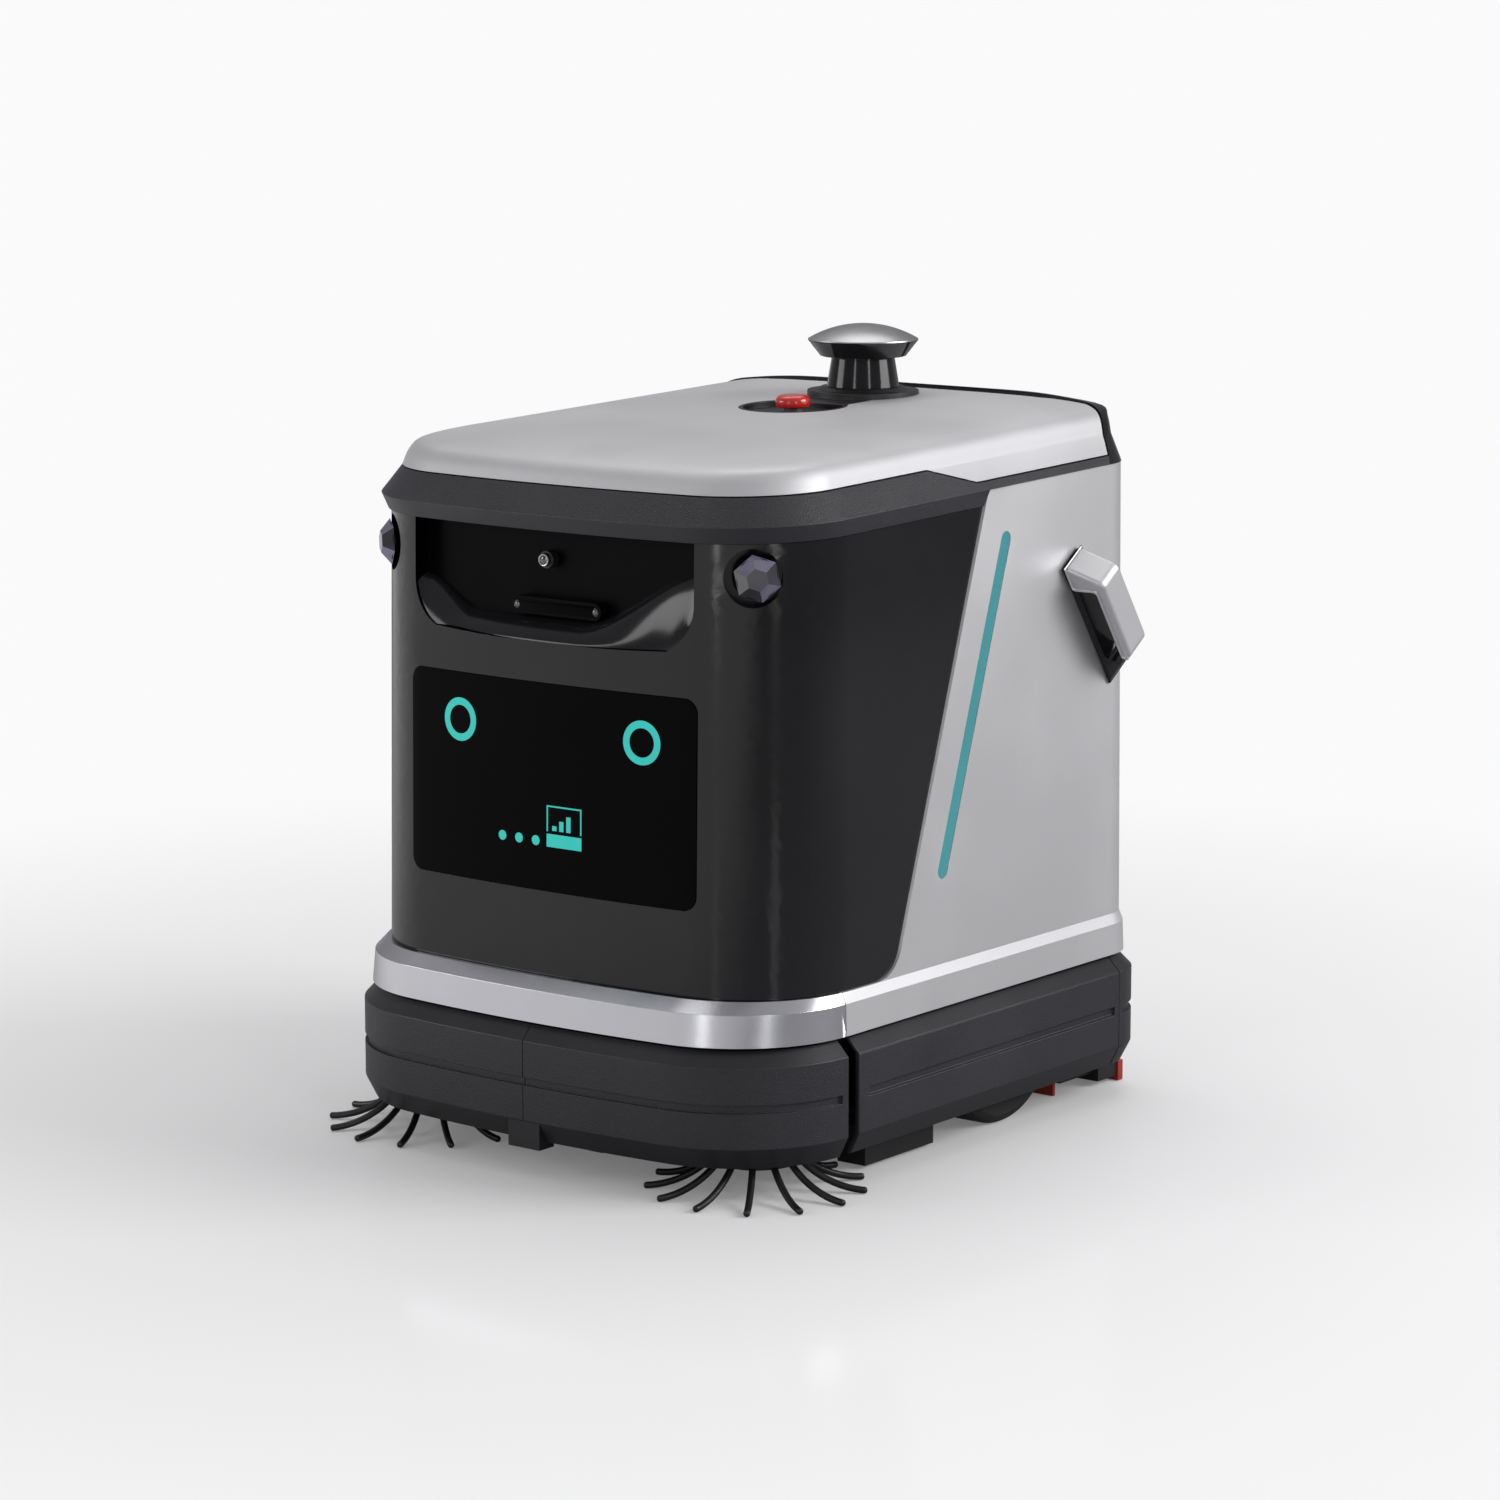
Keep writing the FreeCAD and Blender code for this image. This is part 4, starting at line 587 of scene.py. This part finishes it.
# ================================================================ body covers
def make_covers():
    """Painted panels, textured skirts and bumper whose smoother chamfers carry painted shade, band,
    collar and lid.
    """
    plane = top_matrix().inverted()
    rim_height = 14 * mm

    def on_rim(face):
        return (plane @ face.calc_center_median()).z > rim_height

    def chamfer_above(face):
        return face.calc_center_median().z > skirt_high and face.normal.z > 0.25

    def chamfer_below(face):
        return face.normal.z < -0.25

    # upper chamfers under the band and all downward-facing faces of the skirts get painted shade
    chamfer_painted_shade = ((shaded_edge, chamfer_above), (shaded_edge, chamfer_below))
    for side in ("left", "right"):
        dressed("side_panel_" + side, silver_paint, 1.2 * mm, 3, 16)
        dressed("side_skirt_" + side, dark_texture, 1.0 * mm, 2, 20, paint=chamfer_painted_shade)
        dressed("front_bumper_" + side, dark_texture, 1.0 * mm, 2, 20, paint=chamfer_painted_shade)
    dressed("rear_skirt", dark_texture, 1.0 * mm, 2, 20, paint=chamfer_painted_shade)
    dressed("front_band", bright_band, 1.6 * mm, 3, 10)
    dressed("rear_cover", silver_paint, 0.8 * mm, 2, 25, paint=((black_gloss, on_rim),))
    dressed("top_collar", dark_texture, 1.0 * mm, 2, 18)
    dressed("top_lid", lid_silver_painted_shade, 1.0 * mm, 3, 28)
    dressed("bumper_bracket", shaded_edge, 0.6 * mm)


def make_front():
    """Gloss black cover, with painted shade darkening the inside of the sensor bay."""
    back_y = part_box("depth_camera")[1].y

    # faces inside the bay, apart from the front lip, take the painted shade
    def in_bay(face):
        middle = face.calc_center_median()
        inside = middle.y > back_y - 25 * mm and abs(middle.x) < bay_half + 1 * mm
        facing_front = face.normal.y < -0.7 and middle.y < back_y - 3 * mm
        return inside and middle.z > bay_low - 3 * mm and not facing_front

    dressed("front_fascia", black_gloss, 1.0 * mm, 2, 30, paint=((bay_painted_shade, in_bay),), join=False)
    make_bay_floor(back_y)


def make_bay_floor(back_y):
    """Floor of the sensor bay, swept up at both ends, with its lip just behind the front."""
    lip_depth, lip_lift = 1.0 * mm, 0.3 * mm
    bm = bmesh.new()
    bmesh.ops.create_grid(bm, x_segments=72, y_segments=18, size=1.0)
    for v in bm.verts:
        x = v.co.x * (bay_half - 0.3 * mm)
        depth = (v.co.y + 1) / 2
        past = max(abs(x) - (bay_half - bay_corner_r), 0.0)
        lip_z = bay_low + bay_corner_r - math.sqrt(max(bay_corner_r ** 2 - past ** 2, 0.0))
        # The floor's back edge climbs sooner and higher towards +X than towards -X.
        start, full, lift = (25 * mm, 155 * mm, 50 * mm) if x > 0 else (95 * mm, 152 * mm, 26 * mm)
        climb = min(max((abs(x) - start) / (full - start), 0.0), 1.0)
        back_z = max(bay_back_z + lift * climb * climb * (3 - 2 * climb), lip_z)
        rise = math.sin(depth * math.pi / 2) ** 0.8
        turn = max(abs(x) - flat_half, 0.0) ** 2 / (2 * corner_turn_r)
        lip_y = fascia_point(x, lip_z, -lip_depth).y + turn
        v.co = Vector((x, lip_y + depth * (back_y - lip_y),
                       lip_z + lip_lift + (back_z - lip_z) * rise))
    thicken(bm, bm.faces[:], (0, 0, -bay_wall_t))
    bmesh.ops.recalc_face_normals(bm, faces=bm.faces)
    to_object(bm, "bay_floor", "chassis", black_gloss)


def make_tower():
    """Sensor tower: plinth, dark window, and a metal cap with a shallow dome."""
    dressed("tower_plinth", black_plastic, 0.8 * mm, 2, 30)
    dressed("tower_window", black_gloss, 0.3 * mm)
    low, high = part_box("tower_cap")
    centre = (low + high) / 2
    radius = high.x
    base = Vector((centre.x, centre.y, low.z))
    rise = high.z - low.z
    rim = 15 * mm
    skirt = [(0, 0), (37 * mm, 0), (38.6 * mm, 0.5 * mm), (39.4 * mm, 1.6 * mm),
             (radius - 1.6 * mm, rim - 2.4 * mm), (radius - 0.5 * mm, rim - 1.3 * mm),
             (radius, rim - 0.2 * mm)]
    under = turned(skirt + [(0, rim - 0.2 * mm)], base, steps=72)
    # the cap's underside gets the painted shade
    to_object(under, "sensor_cap_skirt", body_of_node("tower_cap"), chrome_underside_painted_shade, sharp=25)
    ball = cap_ball(radius, rise, rim)
    spread = math.degrees(math.asin((radius - 1.5 * mm) / ball))
    dome = [(0, rim - 0.3 * mm), (radius, rim - 0.3 * mm), (radius - 0.3 * mm, rim + 0.7 * mm)]
    dome += arc_points(0, rise - ball, ball, 90 - spread, 90, 12)
    dome[-1] = (0, rise)
    to_object(turned(dome, base, steps=72), "sensor_cap", body_of_node("tower_cap"), chrome_cap,
              ("tower_cap",), sharp=40)


def cap_ball(radius, rise, rim):
    """Radius of the ball whose top the cap's dome is cut from."""
    low = rim + 1.3 * mm
    return ((radius - 1.5 * mm) ** 2 + (rise - low) ** 2) / (2 * (rise - low))


def make_stop():
    """Red mushroom head of the stop button, which fits over its stem."""
    low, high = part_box("stop_button")
    axis = top_matrix().to_3x3() @ Vector((0, 0, 1))
    height = 10.5 * mm
    base = (low + high) / 2 - axis * height / 2
    profile = [(4.05 * mm, 0), (14.4 * mm, 0), (15.3 * mm, 0.8 * mm), (15.5 * mm, 3.2 * mm)]
    profile += arc_points(9.6 * mm, 4.6 * mm, 5.9 * mm, -8, 84, 10)
    profile += [(0, height)]
    inner = [(0, 4.5 * mm), (4.05 * mm, 4.5 * mm)]
    bm = turned(inner + profile, base, axis, steps=56)
    to_object(bm, "stop_head", body_of_node("stop_button"), stop_red, ("stop_button",))


# ================================================================ screen
def fascia_point(x, z, proud):
    """Point on the bowed, leaning front of the black cover."""
    lean = front_lean * (z - body_low) / body_rise
    curve_r = (flat_half ** 2 + front_bow ** 2) / (2 * front_bow)
    sag = curve_r - math.sqrt(max(curve_r ** 2 - x * x, 0.0))
    return Vector((x, front_y + lean + sag - proud, z))


def upright(x, z):
    """Matrix that stands a flat shape up in the plane y = 0."""
    return Matrix.Translation((x, 0, z)) @ Matrix.Rotation(math.radians(90), 4, "X")


def ring(bm, x, z, outer, inner, depth):
    """Flat ring standing in the plane y = 0, pushed back by its depth."""
    big = bmesh.ops.create_circle(bm, radius=outer, segments=48, matrix=upright(x, z))["verts"]
    small = bmesh.ops.create_circle(bm, radius=inner, segments=48, matrix=upright(x, z))["verts"]
    loops = list({e for v in big + small for e in v.link_edges})
    made = bmesh.ops.bridge_loops(bm, edges=loops)["faces"]
    thicken(bm, made, (0, depth, 0))


def disc(bm, x, z, radius, depth, segments=32):
    """Round flat disc standing in the plane y = 0, pushed back by its depth."""
    made = bmesh.ops.create_circle(bm, cap_ends=True, radius=radius, segments=segments,
                                   matrix=upright(x, z))["verts"]
    thicken(bm, list({f for v in made for f in v.link_faces}), (0, depth, 0))


def to_screen(bm, name):
    """Lay a mark on the bowed glass, lit, and just proud of it."""
    proud = 0.75 * mm
    for v in bm.verts:
        v.co = fascia_point(v.co.x, v.co.z, proud - v.co.y)
    bmesh.ops.recalc_face_normals(bm, faces=bm.faces)
    to_object(bm, name, body_of_node("display_glass"), screen_pixels)


def make_screen():
    """Dark glass with two ring eyes, three dots and a bar gauge."""
    dressed("display_glass", screen_glass, 0.3 * mm)
    low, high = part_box("display_glass")
    eye_z = high.z - 40 * mm
    depth = 0.35 * mm
    for name, x in (("eye_left", -95 * mm), ("eye_right", 101 * mm)):
        bm = bmesh.new()
        ring(bm, x, eye_z, 18.5 * mm, 12.2 * mm, depth)
        bmesh.ops.subdivide_edges(bm, edges=bm.edges, cuts=1)
        to_screen(bm, name)
    mark_z = low.z + 50 * mm
    bm = bmesh.new()
    for k in range(3):
        disc(bm, (-46 + 18.5 * k) * mm, mark_z - 8 * mm, 4.2 * mm, depth)
    to_screen(bm, "progress_dots")
    make_gauge(mark_z, depth)


def make_gauge(mark_z, depth):
    """Frame with a solid foot and three bars that grow to the right."""
    left, right = 3 * mm, 40 * mm
    foot, top = mark_z - 12 * mm, mark_z + 23 * mm
    post_foot, bar_foot = foot + 13 * mm, foot + 14 * mm
    line, bar_width = 1.3 * mm, 4.5 * mm
    bm = bmesh.new()
    block(bm, (left, 0, foot), (right, depth, foot + 11 * mm))
    block(bm, (left, 0, top - line), (right, depth, top))
    block(bm, (left, 0, post_foot), (left + line, depth, top - line))
    block(bm, (right - line, 0, post_foot), (right, depth, top - line))
    for k in range(3):
        x = left + (6 + 7.5 * k) * mm
        block(bm, (x, 0, bar_foot), (x + bar_width, depth, bar_foot + (4 + 4.5 * k) * mm))
    to_screen(bm, "tank_gauge")


# ================================================================ sensors
def make_sensors():
    """Front camera with its bezel and lens, and the two-eyed depth sensor below it."""
    dressed("front_camera", black_plastic, 0.4 * mm)
    dressed("depth_camera", bay_painted_shade, 0.6 * mm, 3)
    dressed("corner_sensors", bay_painted_shade, 0.4 * mm)
    facing = (0, -1, 0)
    low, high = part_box("front_camera")
    middle = (low + high) / 2
    lens_face = Vector((middle.x, low.y, middle.z))
    bezel = [(5.4 * mm, -0.4 * mm), (5.4 * mm, 0.5 * mm), (4.9 * mm, 0.9 * mm),
             (4.1 * mm, 0.7 * mm), (3.6 * mm, -0.4 * mm)]
    bm = turned(bezel + bezel[:1], lens_face, facing, steps=40)
    to_object(bm, "camera_bezel", "chassis", chrome_cap)
    bulge = [(0, -0.6 * mm), (3.7 * mm, -0.6 * mm), (3.7 * mm, 0.2 * mm)]
    bulge += arc_points(0, -5.6 * mm, 6.9 * mm, 57, 90, 6)
    bulge[-1] = (0, 1.3 * mm)
    to_object(turned(bulge, lens_face, facing, steps=32), "camera_lens", "chassis", lens_glass)
    low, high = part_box("depth_camera")
    middle = (low + high) / 2
    bm = bmesh.new()
    block(bm, (low.x + 7 * mm, low.y - 0.5 * mm, middle.z - 4.6 * mm),
          (high.x - 7 * mm, low.y + 1 * mm, middle.z + 4.6 * mm), 0.4 * mm)
    to_object(bm, "depth_window", "chassis", screen_glass)
    for name, x in (("depth_eye_left", low.x + 6 * mm), ("depth_eye_right", high.x - 6 * mm)):
        spot = Vector((x, low.y, middle.z))
        bead = [(0, -0.5 * mm), (3.4 * mm, -0.5 * mm), (3.4 * mm, 0.3 * mm)]
        bead += arc_points(0, -3.0 * mm, 4.5 * mm, 45, 90, 5)
        bead[-1] = (0, 1.5 * mm)
        to_object(turned(bead, spot, facing, steps=28), name, "chassis", lens_glass)
    make_prisms()


def make_prisms():
    """Faceted optical blocks set in the round openings at both front corners."""
    low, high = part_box("corner_sensors")
    seat_depth, base_depth, base_r = 9 * mm, 12 * mm, 17 * mm
    base = [(0, -base_depth), (base_r, -base_depth), (base_r, 0), (0, 0)]
    spin = Matrix.Rotation(math.radians(12), 4, "Z")
    for name, side in (("prism_left", -1), ("prism_right", 1)):
        out = Vector((math.cos(prism_turn) * side, math.sin(prism_turn), 0))
        face = Vector((side * high.x, low.y, prism_z)) - out * seat_depth
        bm = turned(base, face, out, (0, 0, 1), 32)
        to_object(bm, name + "_base", "chassis", bay_painted_shade, ("corner_sensors",))
        facing = out.to_track_quat("Z", "Y").to_matrix().to_4x4()
        place = Matrix.Translation(face + out * 3.5 * mm) @ facing @ spin
        bm = bmesh.new()
        bmesh.ops.create_cone(bm, cap_ends=True, segments=6, radius1=prism_r,
                              radius2=prism_top_r, depth=prism_depth, matrix=place)
        bm.normal_update()
        # every other side facet is given the painted reflection
        for number, facet in enumerate(bm.faces):
            facet.material_index = 0 if len(facet.verts) > 4 else (number + 1) % 2
        piece = to_object(bm, name, "chassis", lens_glass, sharp=5)
        piece.data.materials.append(prism_painted_glint)


# ================================================================ lights and handles
def is_rim(face):
    """True on the narrow side of a light strip."""
    return abs(face.normal.x) < 0.6


def make_sides():
    """Light strips with pale edges, and the handles with their outer skins."""
    dressed("led_strips", teal_light, 0.5 * mm, paint=((light_edge, is_rim),))
    dressed("handle_covers", silver_paint, 3.2 * mm, 4, 30, clamp=False)
    for side in ("left", "right"):
        dressed("side_handle_" + side, black_gloss, 1.6 * mm, 3, 30, clamp=False)


# ================================================================ running gear
def make_wheels():
    """Drive wheels and arms, caster, roller deck and squeegee."""
    for side in ("left", "right"):
        dressed("drive_tyre_" + side, tyre_rubber, 1.0 * mm, 2, 25)
        dressed("wheel_hub_" + side, hub_alloy, 0.8 * mm, 2, 30)
        dressed("suspension_arm_" + side, steel, 0.6 * mm)
    dressed("caster_wheel", tyre_rubber, 0.5 * mm)
    dressed("caster_fork", steel, 0.4 * mm)
    dressed("brush_deck", black_plastic, 0.8 * mm)
    dressed("squeegee_body", black_plastic, 0.8 * mm)
    dressed("squeegee_blades", blade_red, 0.5 * mm)


def make_strand():
    """One thick strand that leaves the disc along +X and bends out to a blunt tip on the floor."""
    pivot = Vector((strand_bend_x, 0, strand_low_z + strand_bend_r))
    begin = Vector((brush_disc_r, 0, strand_start_z))
    along = Vector((0, 1, 0)).cross(begin - pivot).normalized()
    stand = Matrix.Translation(begin) @ along.to_track_quat("Z", "Y").to_matrix().to_4x4()
    strand = bmesh.new()
    made = bmesh.ops.create_circle(strand, radius=strand_r, segments=12, matrix=stand)["verts"]
    edges = list({e for v in made for e in v.link_edges})
    end = bmesh.ops.spin(strand, geom=made + edges, cent=pivot, axis=(0, -1, 0), dvec=(0, 0, 0),
                         angle=strand_sweep, steps=14, use_merge=False)["geom_last"]
    tip = only_verts(end)
    middle = sum((v.co for v in tip), Vector()) / len(tip)
    ahead = Vector((math.cos(strand_tip_dip), 0, -math.sin(strand_tip_dip)))
    last = only_edges(end)
    for reach, size in ((0.9, 0.92), (1.7, 0.70), (2.2, 0.35)):
        grown = bmesh.ops.extrude_edge_only(strand, edges=last)["geom"]
        last = only_edges(grown)
        rim = only_verts(grown)
        now = sum((v.co for v in rim), Vector()) / len(rim)
        for v in rim:
            spoke = (v.co - now).normalized()
            v.co = middle + ahead * reach * mm + spoke * strand_r * size
    bmesh.ops.holes_fill(strand, edges=[e for e in strand.edges if e.is_boundary], sides=0)
    bmesh.ops.recalc_face_normals(strand, faces=strand.faces)
    return strand


def make_side_brush(side):
    """Round disc with thick strands that bend out to the floor."""
    node = "side_brush_" + side
    body = body_of_node(node)
    sign = 1 if side == "right" else -1
    centre = Vector((sign * brush_x, brush_y, 0))
    bm = bmesh.new()
    for k in range(strand_count):
        strand = make_strand()
        angle = math.radians(360 * k / strand_count - 2.0)
        bmesh.ops.transform(strand, matrix=Matrix.Rotation(angle, 4, "Z"), verts=strand.verts)
        mesh = bpy.data.meshes.new("strand")
        strand.to_mesh(mesh)
        strand.free()
        bm.from_mesh(mesh)
        bpy.data.meshes.remove(mesh)
    if side == "left":
        bmesh.ops.transform(bm, matrix=Matrix.Diagonal((-1, 1, 1, 1)), verts=bm.verts)
        bmesh.ops.reverse_faces(bm, faces=bm.faces)
    bmesh.ops.translate(bm, vec=centre, verts=bm.verts)
    to_object(bm, node + "_strands", body, bristle_black)
    profile = [(0, 23.5 * mm), (33 * mm, 23.5 * mm), (brush_disc_r, 25 * mm),
               (brush_disc_r + 1 * mm, 27.5 * mm), (brush_disc_r - 1 * mm, 31 * mm),
               (24 * mm, 33 * mm), (20 * mm, 37 * mm), (0, 37 * mm)]
    disc_piece = to_object(turned(profile, centre), node + "_disc", body, bristle_black, (node,))
    round_edges(disc_piece, 0.8 * mm, 2, 20)


def make_inside():
    """Inner parts and small fittings, each in its own plain finish."""
    plain = {
        "chassis_base": black_plastic, "inner_frame": inner_plastic,
        "display_module": inner_plastic, "battery_pack": inner_plastic, "control_board": steel,
        "clean_water_tank": tank_plastic, "waste_water_tank": tank_plastic,
        "tank_caps": black_plastic, "vacuum_motor": inner_plastic, "vacuum_impeller": steel,
        "suction_hose": hose_black, "water_pump": inner_plastic, "charge_contacts": contact_metal,
        "power_button": black_gloss, "panel_screws": steel, "side_brush_motors": inner_plastic,
        "tower_rotor": inner_plastic, "stop_stem": inner_plastic, "hinge_brackets": steel,
        "hinge_pins": steel, "main_brush": bristle_black, "brush_motor": inner_plastic,
    }
    for node, finish in plain.items():
        dressed(node, finish, 0.4 * mm)


make_floor()
make_world()
make_lights()
make_camera()
make_covers()
make_front()
make_tower()
make_stop()
make_screen()
make_sensors()
make_sides()
make_wheels()
for side in ("left", "right"):
    make_side_brush(side)
make_inside()
